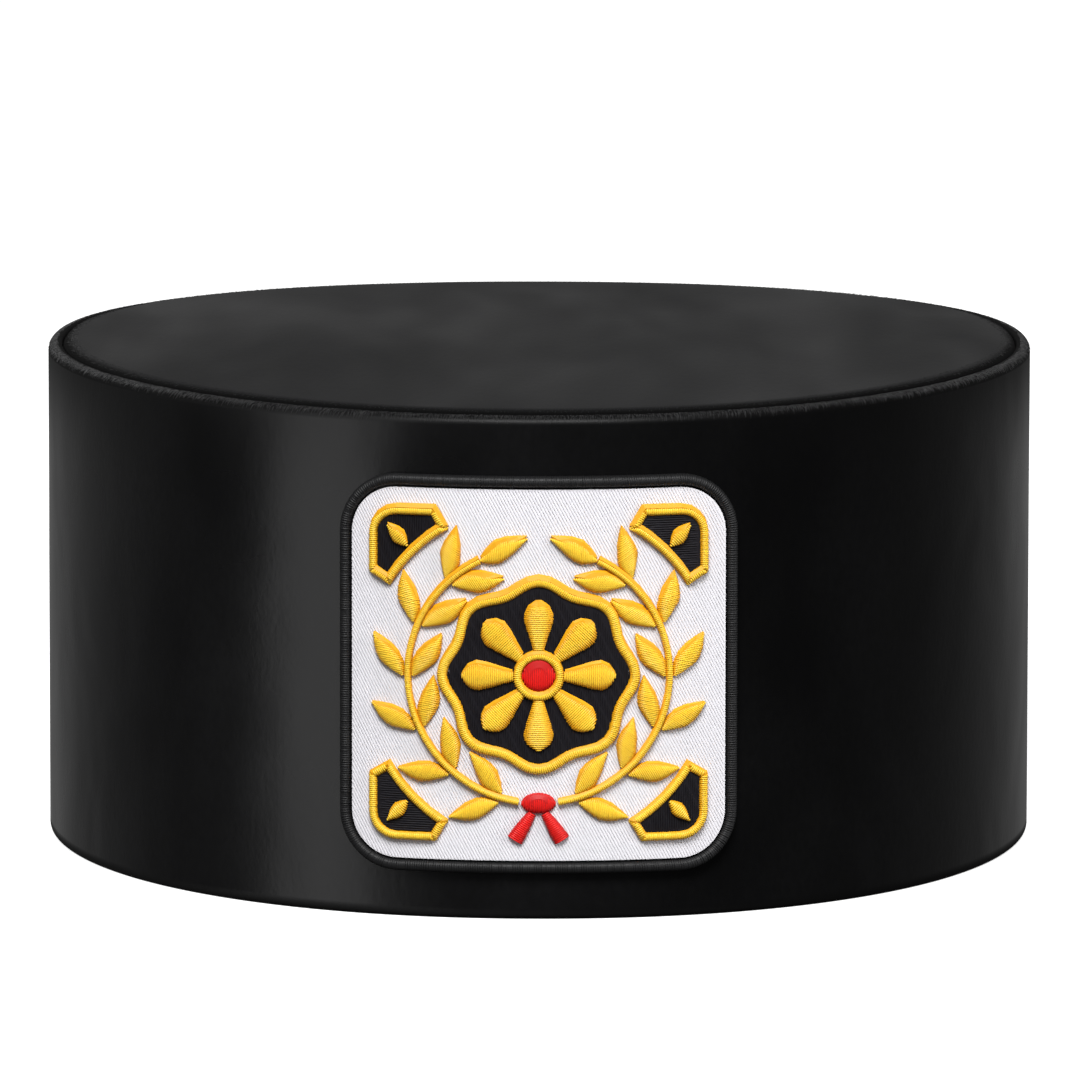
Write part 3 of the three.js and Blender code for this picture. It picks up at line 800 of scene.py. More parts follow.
def row_tree():
    """Threads along straight rows: a flattened round section that dips at both ends."""
    tree, given, out = new_tree(
        "Laid threads",
        "GeometryNodeTree",
        [
            ("Geometry", "NodeSocketGeometry", None),
            ("Step", "NodeSocketFloat", 0.0025),
            ("Width", "NodeSocketFloat", RIB_WIDTH),
            ("Height", "NodeSocketFloat", RIB_HEIGHT),
            ("Dip", "NodeSocketFloat", 0.0),
            ("Level", "NodeSocketFloat", PATCH_GAP + GROUND_THICKNESS),
            ("Sides", "NodeSocketInt", 6),
            ("Seed", "NodeSocketInt", 5),
            ("Material", "NodeSocketMaterial", None),
        ],
        [("Geometry", "NodeSocketGeometry")],
    )
    path = add_node(tree, "GeometryNodeMeshToCurve", {0: given["Geometry"]})
    steps = add_node(
        tree, "GeometryNodeResampleCurve", {"Curve": path.outputs[0], "Length": given["Step"]}, mode="LENGTH"
    )
    share = add_node(tree, "GeometryNodeSplineParameter").outputs["Factor"]
    edge = math_node(tree, "ABSOLUTE", math_node(tree, "MULTIPLY_ADD", share, 2.0, -1.0))
    sink = math_node(tree, "MULTIPLY", math_node(tree, "POWER", edge, 6.0), given["Dip"])
    dipped = add_node(
        tree,
        "GeometryNodeSetPosition",
        {
            0: steps.outputs[0],
            3: add_node(tree, "ShaderNodeCombineXYZ", {2: math_node(tree, "MULTIPLY", sink, -1.0)}).outputs[0],
        },
    )
    index = add_node(tree, "GeometryNodeInputIndex").outputs[0]
    chance = add_node(
        tree, "FunctionNodeRandomValue", {2: 0.0, 3: 1.0, "ID": index, "Seed": given["Seed"]}, data_type="FLOAT"
    )
    shaded = add_node(
        tree,
        "GeometryNodeStoreNamedAttribute",
        {0: dipped.outputs[0], "Name": "shade", "Value": chance.outputs[1]},
        data_type="FLOAT",
        domain="CURVE",
    )
    ring = add_node(
        tree,
        "GeometryNodeCurvePrimitiveCircle",
        {"Resolution": given["Sides"], "Radius": math_node(tree, "MULTIPLY", given["Width"], 0.5)},
    )
    tube = add_node(
        tree,
        "GeometryNodeCurveToMesh",
        {"Curve": shaded.outputs[0], "Profile Curve": ring.outputs[0], "Fill Caps": True},
    )
    place = add_node(tree, "ShaderNodeSeparateXYZ", {0: add_node(tree, "GeometryNodeInputPosition").outputs[0]})
    above = math_node(tree, "SUBTRACT", place.outputs[2], given["Level"])
    flatness = math_node(tree, "DIVIDE", math_node(tree, "MULTIPLY", given["Height"], 2.0), given["Width"])
    low = math_node(tree, "MULTIPLY_ADD", above, flatness, given["Level"])
    flattened = add_node(
        tree,
        "GeometryNodeSetPosition",
        {
            0: tube.outputs[0],
            2: add_node(
                tree, "ShaderNodeCombineXYZ", {0: place.outputs[0], 1: place.outputs[1], 2: low}
            ).outputs[0],
        },
    )
    smooth = add_node(tree, "GeometryNodeSetShadeSmooth", {0: flattened.outputs[0]})
    return finish_tree(tree, out, smooth.outputs[0], given["Material"])


laid_cloth = cloth_tree()
laid_threads = row_tree()


def spun_thread_group():
    """Colour and twist of a spun thread: its own tone, painted shade where it dives into the cloth, and its ply."""
    tree, given, out = new_tree(
        "Spun thread",
        "ShaderNodeTree",
        [
            ("Lit", "NodeSocketColor", None),
            ("Deep", "NodeSocketColor", None),
            ("Variation", "NodeSocketFloat", 0.25),
            ("Shade Start", "NodeSocketFloat", 0.55),
            ("Ply Scale", "NodeSocketFloat", 5200.0),
        ],
        [("Color", "NodeSocketColor"), ("Ply", "NodeSocketFloat")],
    )
    edge = add_node(tree, "ShaderNodeAttribute", attribute_name="edge").outputs["Fac"]
    shade = add_node(tree, "ShaderNodeAttribute", attribute_name="shade").outputs["Fac"]
    # Painted shade: towards the ends of each stitch the thread is painted in its dark colour.
    painted_edge_shade = add_node(
        tree,
        "ShaderNodeMapRange",
        {"Value": edge, "From Min": given["Shade Start"], "From Max": 1.0, "To Min": 0.0, "To Max": 1.0},
    ).outputs[0]
    place = add_node(tree, "ShaderNodeTexCoord").outputs["Object"]
    ply = add_node(tree, "ShaderNodeTexNoise", {"Vector": place, "Scale": given["Ply Scale"], "Detail": 1.0})
    drift = add_node(tree, "ShaderNodeTexNoise", {"Vector": place, "Scale": 260.0, "Detail": 2.0})
    own = math_node(tree, "MULTIPLY", shade, given["Variation"])
    wander = math_node(tree, "MULTIPLY", ramp(tree, drift.outputs[0], 0.0, 1.0), given["Variation"])
    share = add_node(
        tree, "ShaderNodeMath", {0: math_node(tree, "ADD", own, wander), 1: painted_edge_shade}, operation="ADD", use_clamp=True
    ).outputs[0]
    tree.links.new(mix_colours(tree, share, given["Lit"], given["Deep"]), out["Color"])
    tree.links.new(ply.outputs[0], out["Ply"])
    return tree


spun_thread = spun_thread_group()


def thread_material(name, lit, deep, roughness, specular, sheen=0.0, variation=0.25, shade_start=0.55):
    """A thread of one colour, as smooth as its finish."""
    material, tree, surface = new_material(name)
    thread = add_node(
        tree,
        "ShaderNodeGroup",
        {"Lit": lit, "Deep": deep, "Variation": variation, "Shade Start": shade_start},
        node_tree=spun_thread,
    )
    bump = add_node(
        tree, "ShaderNodeBump", {"Strength": 0.25, "Distance": 0.00005, "Height": thread.outputs["Ply"]}
    )
    shader = add_node(
        tree,
        "ShaderNodeBsdfPrincipled",
        {
            "Base Color": thread.outputs["Color"],
            "Roughness": roughness,
            "Specular IOR Level": specular,
            "Sheen Weight": sheen,
            "Normal": bump.outputs[0],
        },
    )
    tree.links.new(shader.outputs[0], surface)
    return material


white_thread = thread_material("white twill", TWILL_LIT, TWILL_DEEP, 0.75, 0.2, 0.05, 0.12)
ground = run_tree("twill_ground", ground_mesh(), laid_cloth, {"Material": white_thread})
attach(ground, "root")
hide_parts("patch_ground")

rib_outline = rounded_square(GROUND_HALF - 0.0001, GROUND_CORNER, 0.0005)
rib_lines = [
    ([on_patch(*low, GROUND_THICKNESS), on_patch(*high, GROUND_THICKNESS)], False)
    for _, low, high in rows_inside(rib_outline, RIB_ANGLE, RIB_PITCH)
    if (high - low).length > 0.001
]
ribs = run_tree("twill_ribs", line_mesh("twill_ribs", rib_lines), laid_threads, {"Material": white_thread})
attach(ribs, "root")

# Patch border: overlocking, which wraps the cut edge of the cloth in black thread side by side over a cord,
# so that it stands as a round bead all the way round.
BORDER_THICKNESS = 0.0016
BEAD_ROUNDNESS = 2.6
BORDER_PITCH = 0.0004
BORDER_THREAD = 0.00046
BLACK_LIT = (0.0065, 0.0065, 0.0073, 1)
# The darker black is the overlock thread's random tone and also its painted shade towards the ends of each stitch.
BLACK_DARK_AND_SHADE = (0.003, 0.003, 0.0034, 1)


def arch_tree():
    """Threads side by side over a raised line: each is an arch as wide as the line there and as high."""
    tree, given, out = new_tree(
        "Satin stitches",
        "GeometryNodeTree",
        [
            ("Geometry", "NodeSocketGeometry", None),
            ("Pitch", "NodeSocketFloat", BORDER_PITCH),
            ("Thread", "NodeSocketFloat", BORDER_THREAD),
            ("Height", "NodeSocketFloat", BORDER_THICKNESS),
            ("Roundness", "NodeSocketFloat", BEAD_ROUNDNESS),
            ("Inset", "NodeSocketFloat", 1.0),
            ("Points", "NodeSocketInt", 11),
            ("Seed", "NodeSocketInt", 3),
            ("Material", "NodeSocketMaterial", None),
        ],
        [("Geometry", "NodeSocketGeometry")],
    )
    path = add_node(tree, "GeometryNodeMeshToCurve", {0: given["Geometry"]})
    places = add_node(
        tree, "GeometryNodeResampleCurve", {"Curve": path.outputs[0], "Length": given["Pitch"]}, mode="LENGTH"
    )
    line = add_node(tree, "GeometryNodeCurvePrimitiveLine", {0: (-1, 0, 0), 1: (1, 0, 0)})
    stepped = add_node(
        tree, "GeometryNodeResampleCurve", {"Curve": line.outputs[0], "Count": given["Points"]}
    )
    share = add_node(tree, "GeometryNodeSplineParameter").outputs["Factor"]
    turn = math_node(tree, "MULTIPLY", share, math.pi)
    power = math_node(tree, "DIVIDE", 2.0, given["Roundness"])
    side = math_node(tree, "COSINE", turn)
    reach = math_node(tree, "POWER", math_node(tree, "ABSOLUTE", side), power)
    across = math_node(tree, "MULTIPLY", reach, math_node(tree, "SIGN", side))
    rise = math_node(tree, "POWER", math_node(tree, "ABSOLUTE", math_node(tree, "SINE", turn)), power)
    arch = add_node(
        tree,
        "GeometryNodeSetPosition",
        {0: stepped.outputs[0], 2: add_node(tree, "ShaderNodeCombineXYZ", {0: across, 2: rise}).outputs[0]},
    )
    edged = add_node(
        tree,
        "GeometryNodeStoreNamedAttribute",
        {0: arch.outputs[0], "Name": "edge", "Value": math_node(tree, "ABSOLUTE", across)},
        data_type="FLOAT",
        domain="POINT",
    )
    half = add_node(tree, "GeometryNodeInputNamedAttribute", {"Name": "side"}, data_type="FLOAT_VECTOR").outputs[0]
    level = add_node(tree, "GeometryNodeInputNamedAttribute", {"Name": "rise"}, data_type="FLOAT").outputs[0]
    width = add_node(tree, "ShaderNodeVectorMath", {0: half}, operation="LENGTH").outputs["Value"]
    radius = math_node(tree, "MULTIPLY", given["Thread"], 0.5)
    inset = math_node(tree, "MULTIPLY", radius, given["Inset"])
    inner = math_node(tree, "MAXIMUM", math_node(tree, "SUBTRACT", width, inset), 0.00005)
    crest = math_node(tree, "SUBTRACT", math_node(tree, "MULTIPLY", level, given["Height"]), inset)
    chance = add_node(
        tree, "FunctionNodeRandomValue", {2: 0.0, 3: 1.0, "Seed": given["Seed"]}, data_type="FLOAT"
    ).outputs[1]
    uneven = ramp(tree, chance, 0.97, 1.03, 0.0, 1.0)
    lie = add_node(tree, "FunctionNodeAlignRotationToVector", {"Vector": half}, axis="X", pivot_axis="Z")
    size = add_node(
        tree,
        "ShaderNodeCombineXYZ",
        {
            0: math_node(tree, "MULTIPLY", inner, uneven),
            1: 1.0,
            2: math_node(tree, "MULTIPLY", crest, uneven),
        },
    )
    arches = add_node(
        tree,
        "GeometryNodeInstanceOnPoints",
        {
            "Points": places.outputs[0],
            "Instance": edged.outputs[0],
            "Rotation": lie.outputs[0],
            "Scale": size.outputs[0],
        },
    )
    shaded = add_node(
        tree,
        "GeometryNodeStoreNamedAttribute",
        {0: arches.outputs[0], "Name": "shade", "Value": chance},
        data_type="FLOAT",
        domain="INSTANCE",
    )
    real = add_node(tree, "GeometryNodeRealizeInstances", {0: shaded.outputs[0]})
    ring = add_node(
        tree,
        "GeometryNodeCurvePrimitiveCircle",
        {"Resolution": 5, "Radius": radius},
    )
    tube = add_node(
        tree,
        "GeometryNodeCurveToMesh",
        {"Curve": real.outputs[0], "Profile Curve": ring.outputs[0], "Fill Caps": True},
    )
    smooth = add_node(tree, "GeometryNodeSetShadeSmooth", {0: tube.outputs[0]})
    return finish_tree(tree, out, smooth.outputs[0], given["Material"])


satin_stitches = arch_tree()


def corner_directions(outline):
    """How far, and which way, the corners of a closed outline move when all its sides move out by 1."""
    directions = []
    for i, point in enumerate(outline):
        before, after = outline[i - 1], outline[(i + 1) % len(outline)]
        first = Vector((point.y - before.y, before.x - point.x)).normalized()
        second = Vector((after.y - point.y, point.x - after.x)).normalized()
        directions.append((first + second) / (1 + first.dot(second)))
    return directions


def moved_outline(outline, distance):
    return [point + way * distance for point, way in zip(outline, corner_directions(outline))]


def satin_piece(name, lines, base, values):
    """A piece of satin stitches over lines given as (points, half widths as vectors, rises, closed)."""
    spines = [([on_patch(*point, base) for point in points], closed) for points, _, _, closed in lines]
    sides = [(side.x, side.y, 0.0) for _, halves, _, _ in lines for side in halves]
    rises = [rise for _, _, heights, _ in lines for rise in heights]
    mesh = line_mesh(name, spines, side=sides, rise=rises)
    piece = run_tree(name, mesh, satin_stitches, values)
    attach(piece, "root")
    return piece


def closed_line(outline, width):
    """A closed satin line of even width, mitred at its corners."""
    halves = [way * (width / 2) for way in corner_directions(outline)]
    return outline, halves, [1.0] * len(outline), True


def mitred_lines(outline, width):
    """Satin lines along a closed outline that stop at its sharp corners and meet there in a mitre."""
    half = width / 2
    step = 0.00025
    ways = corner_directions(outline)
    sharp = [i for i, way in enumerate(ways) if way.length > 1.03]
    lines = []
    for start, end in zip(sharp, sharp[1:] + sharp[:1]):
        run = [outline[(start + i) % len(outline)] for i in range((end - start) % len(outline) + 1)]
        mitres = [(run[0], ways[start], 1), (run[-1], ways[end], -1)]
        reaches = [half * math.sqrt(way.length_squared - 1) for _, way, _ in mitres]
        run[0] = run[0] + (run[0] - run[1]).normalized() * reaches[0]
        run[-1] = run[-1] + (run[-1] - run[-2]).normalized() * reaches[1]
        points, halves, rises = [], [], []
        for first, last in zip(run, run[1:]):
            heading = (last - first).normalized()
            out = Vector((heading.y, -heading.x))
            count = max(1, round((last - first).length / step))
            for part in range(count + (last is run[-1])):
                spot = first.lerp(last, part / count)
                low, high = -half, half
                for corner, way, facing in mitres:
                    inward = Vector((-way.y, way.x)) * facing
                    level = (spot - corner).dot(inward)
                    slope = out.dot(inward)
                    if abs(slope) > 0.01 and slope > 0:
                        low = max(low, -level / slope)
                    elif abs(slope) > 0.01:
                        high = min(high, -level / slope)
                if high - low > width * 0.12:
                    points.append(spot + out * ((low + high) / 2))
                    halves.append(out * ((high - low) / 2))
                    rises.append(min(1.0, (high - low) / width + 0.15))
        lines.append((points, halves, rises, False))
    return lines


def bead_core(outline, width, height, roundness):
    """The cord under the overlocking: a closed ring with a rounded section, flat at the back."""
    count = 10
    ways = corner_directions(outline)
    mesh = bmesh.new()
    rings = []
    for point, way in zip(outline, ways):
        ring = []
        for i in range(count + 1):
            turn = math.pi * i / count
            side = math.copysign(abs(math.cos(turn)) ** (2 / roundness), math.cos(turn))
            rise = abs(math.sin(turn)) ** (2 / roundness)
            spot = point + way * (width / 2 * side)
            ring.append(mesh.verts.new(on_patch(spot.x, spot.y, height * rise)))
        rings.append(ring)
    for ring, after in zip(rings, rings[1:] + rings[:1]):
        for i in range(count + 1):
            follow = (i + 1) % (count + 1)
            mesh.faces.new((ring[i], after[i], after[follow], ring[follow]))
    bmesh.ops.recalc_face_normals(mesh, faces=mesh.faces)
    made = bpy.data.meshes.new("border_cord")
    mesh.to_mesh(made)
    mesh.free()
    return made


border_thread = thread_material("overlock thread", BLACK_LIT, BLACK_DARK_AND_SHADE, 0.56, 0.4, 0.0, 0.4, 0.35)
border_line = rounded_square((PATCH_SIZE - BORDER_WIDTH) / 2, PATCH_CORNER - BORDER_WIDTH / 2, 0.0012)
core = run_tree(
    "border_cord",
    bead_core(border_line, BORDER_WIDTH - 0.0002, BORDER_THICKNESS - 0.0001, BEAD_ROUNDNESS),
    laid_cloth,
    {"Material": border_thread},
)
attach(core, "root")
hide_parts("patch_border")
overlocking = satin_piece(
    "overlocking", [closed_line(border_line, BORDER_WIDTH)], 0.0, {"Material": border_thread}
)

# Black fields: the medallion and the four corner fans are filled with flat rows of short black stitches,
# each row set off from the next like bricks, over a thin plate of the same thread.
EMBLEM_MARGIN = 0.0033
STITCH_GAP = 0.00015
FIELD_THICKNESS = 0.00035
RIM_WIDTH = 0.0017
FAN_EDGE = 0.0014
FAN_SPAN = 28
FAN_TURN = 45
PETALS = 8
EMBLEM_HALF = GROUND_HALF - EMBLEM_MARGIN
MEDALLION_RADIUS = EMBLEM_HALF * 0.537
SCALLOP_DEPTH = EMBLEM_HALF * 0.026
FAN_HOLLOW = EMBLEM_HALF * 1.02
ON_CLOTH = GROUND_THICKNESS + STITCH_GAP
ON_FIELD = ON_CLOTH + FIELD_THICKNESS + STITCH_GAP
FILL_PITCH = 0.00040
FILL_LENGTH = 0.0032
FILL_WIDTH = 0.00040
FILL_HEIGHT = 0.00007
FILL_LIT = (0.0085, 0.0075, 0.0105, 1)
FILL_DEEP = (0.005, 0.0044, 0.0065, 1)


def polar(radius, angle):
    return Vector((radius * math.cos(angle), radius * math.sin(angle)))


def scallop_line(count=224):
    """The rim's middle line: round, with a scallop for each petal."""
    line = []
    for i in range(count):
        angle = 2 * math.pi * i / count
        line.append(polar(MEDALLION_RADIUS + SCALLOP_DEPTH * math.cos(PETALS * angle), angle))
    return line


def fan_outline():
    """A corner fan: hollow towards the wreath, straight at its sides, round where the patch is round."""
    corner = GROUND_CORNER - EMBLEM_MARGIN
    start = math.radians(FAN_TURN - FAN_SPAN / 2)
    end = math.pi / 2 - start
    side_end = EMBLEM_HALF * math.tan(start)
    outline = [polar(FAN_HOLLOW, end + (start - end) * i / 16) for i in range(17)]
    outline.append(Vector((EMBLEM_HALF, side_end)))
    centre = EMBLEM_HALF - corner
    outline += [Vector((centre, centre)) + polar(corner, math.pi / 2 * i / 10) for i in range(11)]
    outline.append(Vector((side_end, EMBLEM_HALF)))
    return outline


def turned(outline, quarter):
    turn = Matrix.Rotation(math.pi / 2 * quarter, 2)
    return [turn @ point for point in outline]


def fill_lines(outline, angle):
    """Rows of short stitches across an outline, each row shifted against the last."""
    lines = []
    for number, low, high in rows_inside(outline, angle, FILL_PITCH):
        length = (high - low).length
        if length < 0.0006:
            continue
        way = (high - low) / length
        start = low.dot(way)
        cut = math.ceil(start / FILL_LENGTH - (number % 4) / 4) + (number % 4) / 4
        cuts = [0.0]
        while cut * FILL_LENGTH - start < length - 0.0004:
            if cut * FILL_LENGTH - start > 0.0004:
                cuts.append(cut * FILL_LENGTH - start)
            cut += 1
        cuts.append(length)
        level = ON_CLOTH + FIELD_THICKNESS
        for first, last in zip(cuts, cuts[1:]):
            ends = (low + way * first, low + way * last)
            lines.append(([on_patch(*end, level) for end in ends], False))
    return lines


fill_thread = thread_material("black fill stitch", FILL_LIT, FILL_DEEP, 0.6, 0.2, 0.0, 0.3, 0.6)
rim_line = scallop_line()
fan = fan_outline()
fan_edge_line = moved_outline(fan, -FAN_EDGE / 2)
fields = {
    "medallion_fill": (fill_lines(moved_outline(rim_line, -RIM_WIDTH / 2 - 0.0001), 90), 2),
    "corner_fill": (
        [
            line
            for quarter in range(4)
            for line in fill_lines(turned(moved_outline(fan, -FAN_EDGE - 0.0001), quarter), 90 if quarter % 2 else 0)
        ],
        3,
    ),
}
for name, (lines, seed) in fields.items():
    values = {
        "Step": 0.0008,
        "Width": FILL_WIDTH,
        "Height": FILL_HEIGHT,
        "Dip": 0.0002,
        "Level": PATCH_GAP + ON_CLOTH + FIELD_THICKNESS,
        "Sides": 5,
        "Seed": seed,
        "Material": fill_thread,
    }
    piece = run_tree(name, line_mesh(name, lines), laid_threads, values)
    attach(piece, "root")
for node in ["medallion_field"] + [f"corner_field_{i + 1}" for i in range(4)]:
    bpy.data.objects[node].data.materials.clear()
    bpy.data.objects[node].data.materials.append(fill_thread)

# Gold and red embroidery: satin stitch, with glossy thread laid side by side across a padded shape. Its solids
# are the padding, painted in the threads' dark colour as shade between them, and the threads lie over them.
SATIN_HEIGHT = 0.00085
PETAL_HEIGHT = 0.00065
SATIN_ROUNDNESS = 2.2
SATIN_PITCH = 0.00034
SATIN_THREAD = 0.00038
GOLD_LIT = (1.0, 0.69, 0.045, 1)
# The dark colours are the threads' random darker tone and also their painted shade.
GOLD_DARK_AND_SHADE = (0.78, 0.36, 0.002, 1)
RED_LIT = (0.9, 0.016, 0.012, 1)
RED_DARK_AND_SHADE = (0.52, 0.005, 0.005, 1)
gold_thread = thread_material("gold satin thread", GOLD_LIT, GOLD_DARK_AND_SHADE, 0.38, 0.45, 0.05, 0.22, 0.5)
red_thread = thread_material("red satin thread", RED_LIT, RED_DARK_AND_SHADE, 0.4, 0.3, 0.0, 0.22, 0.55)
# Painted shade: the padding is all in the threads' dark colour, so that it shows as shade between them.
gold_padding_in_shade = thread_material("gold padding", GOLD_DARK_AND_SHADE, GOLD_DARK_AND_SHADE, 0.5, 0.4)
red_padding_in_shade = thread_material("red padding", RED_DARK_AND_SHADE, RED_DARK_AND_SHADE, 0.5, 0.4)


def satin_values(height, thread, seed):
    return {
        "Pitch": SATIN_PITCH,
        "Thread": SATIN_THREAD,
        "Height": height,
        "Roundness": SATIN_ROUNDNESS,
        "Inset": 0.4,
        "Points": 9,
        "Seed": seed,
        "Material": thread,
    }


def smooth_rows(rows, steps):
    """Outline rows (along, width, rise) with rounded steps between them, through every row."""
    fine = []
    for i in range(len(rows) - 1):
        before, first, second, after = rows[max(i - 1, 0)], rows[i], rows[i + 1], rows[min(i + 2, len(rows) - 1)]
        for step in range(steps + (i == len(rows) - 2)):
            t = step / steps
            row = []
            for a, b, c, d in zip(before, first, second, after):
                row.append(b + t * ((c - a) + t * ((2 * a - 5 * b + 4 * c - d) + t * (3 * (b - c) + d - a))) / 2)
            fine.append(row)
    return fine


def leaf_line(root, angle, length, width, outline, slant=0.0):
    """A tapered satin shape: its spine, half widths and rises from root to tip."""
    heading = polar(1.0, angle)
    side = polar(1.0 / math.cos(slant), angle - math.pi / 2 + slant)
    points, halves, rises = [], [], []
    for along, share, rise in smooth_rows(outline, 4):
        points.append(root + heading * (length * along))
        halves.append(side * (width / 2 * max(share, 0.05)))
        rises.append(max(rise, 0.3))
    return points, halves, rises, False


def button_line(middle, half_width, half_height):
    """A small round or oval button of upright stitches."""
    points, halves, rises = [], [], []
    for i in range(17):
        part = -0.97 + 1.94 * i / 16
        round_off = math.sqrt(1 - part * part)
        points.append(middle + Vector((half_width * part, 0)))
        halves.append(Vector((0, half_height * round_off)))
        rises.append(round_off ** 0.8)
    return points, halves, rises, False


def dress_nodes(names, material):
    """Gives CAD solids a material: here the padding's, painted in the thread's dark colour as shade between the
    threads.
    """
    for name in names:
        bpy.data.objects[name].data.materials.clear()
        bpy.data.objects[name].data.materials.append(material)


# Medallion rim and rosette: a scalloped gold rim round a rosette of eight gold petals, which grow from a
# gold ring with a red heart.
HEART_RING_WIDTH = 0.0013
HEART_GAP = 0.0002
PETAL_MARGIN = 0.0027
HEART_RADIUS = EMBLEM_HALF * 0.094
PETAL_WIDTH = EMBLEM_HALF * 0.167
PETAL_OUTLINE = [(0, 0.34, 0.55), (0.22, 0.56, 0.88), (0.5, 0.86, 1), (0.72, 1, 1), (0.89, 0.74, 0.88), (1, 0.2, 0.5)]
HEART_RING_RADIUS = HEART_RADIUS + HEART_GAP + HEART_RING_WIDTH / 2
PETAL_ROOT = HEART_RING_RADIUS + HEART_RING_WIDTH / 2 + HEART_GAP
PETAL_TIP = MEDALLION_RADIUS + SCALLOP_DEPTH - RIM_WIDTH / 2 - PETAL_MARGIN

rim = satin_piece(
    "medallion_rim_stitches", [closed_line(rim_line, RIM_WIDTH)], ON_CLOTH, satin_values(SATIN_HEIGHT, gold_thread, 21)
)
ring_line = [polar(HEART_RING_RADIUS, 2 * math.pi * i / 48) for i in range(48)]
rosette_lines = [closed_line(ring_line, HEART_RING_WIDTH)]
for i in range(PETALS):
    angle = 2 * math.pi * i / PETALS
    rosette_lines.append(
        leaf_line(polar(PETAL_ROOT, angle), angle, PETAL_TIP - PETAL_ROOT, PETAL_WIDTH, PETAL_OUTLINE)
    )
rosette = satin_piece("rosette_stitches", rosette_lines, ON_FIELD, satin_values(PETAL_HEIGHT, gold_thread, 22))
heart = satin_piece(
    "heart_stitches",
    [button_line(Vector((0, 0)), HEART_RADIUS, HEART_RADIUS)],
    ON_FIELD,
    satin_values(PETAL_HEIGHT, red_thread, 23),
)
dress_nodes(["medallion_rim", "rosette_ring"] + [f"petal_{i + 1}" for i in range(PETALS)], gold_padding_in_shade)
dress_nodes(["rosette_heart"], red_padding_in_shade)

# Wreath: two thin gold stems that rise from the ribbon, each with six pairs of leaves and one at its tip,
# and the red ribbon that ties them.
STEM_WIDTH = 0.0011
LEAF_GAP = 0.00045
LEAF_PAIRS = 6
LEAF_SPREAD = 35
LEAF_SLANT = 24
WREATH_START = 9
WREATH_END = 153
FIRST_LEAF = 0.35
TAIL_SPREAD = 32
WREATH_RADIUS = EMBLEM_HALF * 0.767
LEAF_LENGTH = EMBLEM_HALF * 0.293
LEAF_WIDTH = EMBLEM_HALF * 0.122
KNOT_WIDTH = EMBLEM_HALF * 0.195
KNOT_HEIGHT = EMBLEM_HALF * 0.118
TAIL_LENGTH = EMBLEM_HALF * 0.181
TAIL_WIDTH = EMBLEM_HALF * 0.091
LEAF_OUTLINE = [(0, 0.16, 0.5), (0.14, 0.56, 0.82), (0.38, 1, 1), (0.62, 0.84, 1), (0.84, 0.42, 0.82), (1, 0.06, 0.4)]
TAIL_OUTLINE = [(0, 0.5, 0.7), (0.3, 0.72, 1), (0.7, 0.95, 1), (1, 1, 0.7)]


def wreath_angle(side, climb):
    return math.radians(side * (climb - 90) + (180 if side < 0 else 0))


def wreath_leaf(side, climb, lean):
    angle = wreath_angle(side, climb)
    root = polar(WREATH_RADIUS + lean * (STEM_WIDTH / 2 + LEAF_GAP), angle)
    growing = angle + side * math.radians(90 - lean * LEAF_SPREAD)
    slant = math.radians(LEAF_SLANT) * side * (lean or 1)
    return leaf_line(root, growing, LEAF_LENGTH, LEAF_WIDTH, LEAF_OUTLINE, slant)


def stem_line(side):
    points, halves = [], []
    for i in range(61):
        angle = wreath_angle(side, WREATH_START + (WREATH_END - WREATH_START) * i / 60)
        points.append(polar(WREATH_RADIUS, angle))
        halves.append(polar(side * STEM_WIDTH / 2, angle))
    return points, halves, [1.0] * 61, False


leaf_step = (WREATH_END - WREATH_START) / LEAF_PAIRS
tip_climb = WREATH_END + math.degrees(LEAF_GAP / WREATH_RADIUS)
leaves = []
for side in (1, -1):
    for i in range(LEAF_PAIRS):
        climb = WREATH_START + leaf_step * (i + FIRST_LEAF)
        leaves += [wreath_leaf(side, climb, 1), wreath_leaf(side, climb, -1)]
    leaves.append(wreath_leaf(side, tip_climb, 0))
leaf_stitches = satin_piece("leaf_stitches", leaves, ON_CLOTH, satin_values(SATIN_HEIGHT, gold_thread, 24))
stems = [stem_line(1), stem_line(-1)]
stem_stitches = satin_piece("stem_stitches", stems, ON_CLOTH, satin_values(SATIN_HEIGHT, gold_thread, 25))

knot_middle = Vector((0, -WREATH_RADIUS))
tie_lines = [button_line(knot_middle, KNOT_WIDTH / 2, KNOT_HEIGHT / 2)]
for side in (1, -1):
    angle = math.radians(side * TAIL_SPREAD - 90)
    root = knot_middle + polar(KNOT_HEIGHT / 2 + LEAF_GAP, angle)
    tie_lines.append(leaf_line(root, angle, TAIL_LENGTH, TAIL_WIDTH, TAIL_OUTLINE))
tie = satin_piece("tie_stitches", tie_lines, ON_CLOTH, satin_values(SATIN_HEIGHT, red_thread, 26))
sides = ("right", "left")
dress_nodes([f"leaf_{side}_{i + 1}" for side in sides for i in range(2 * LEAF_PAIRS + 1)], gold_padding_in_shade)
dress_nodes([f"stem_{side}" for side in sides], gold_padding_in_shade)
dress_nodes(["tie_knot", "tie_tail_right", "tie_tail_left"], red_padding_in_shade)

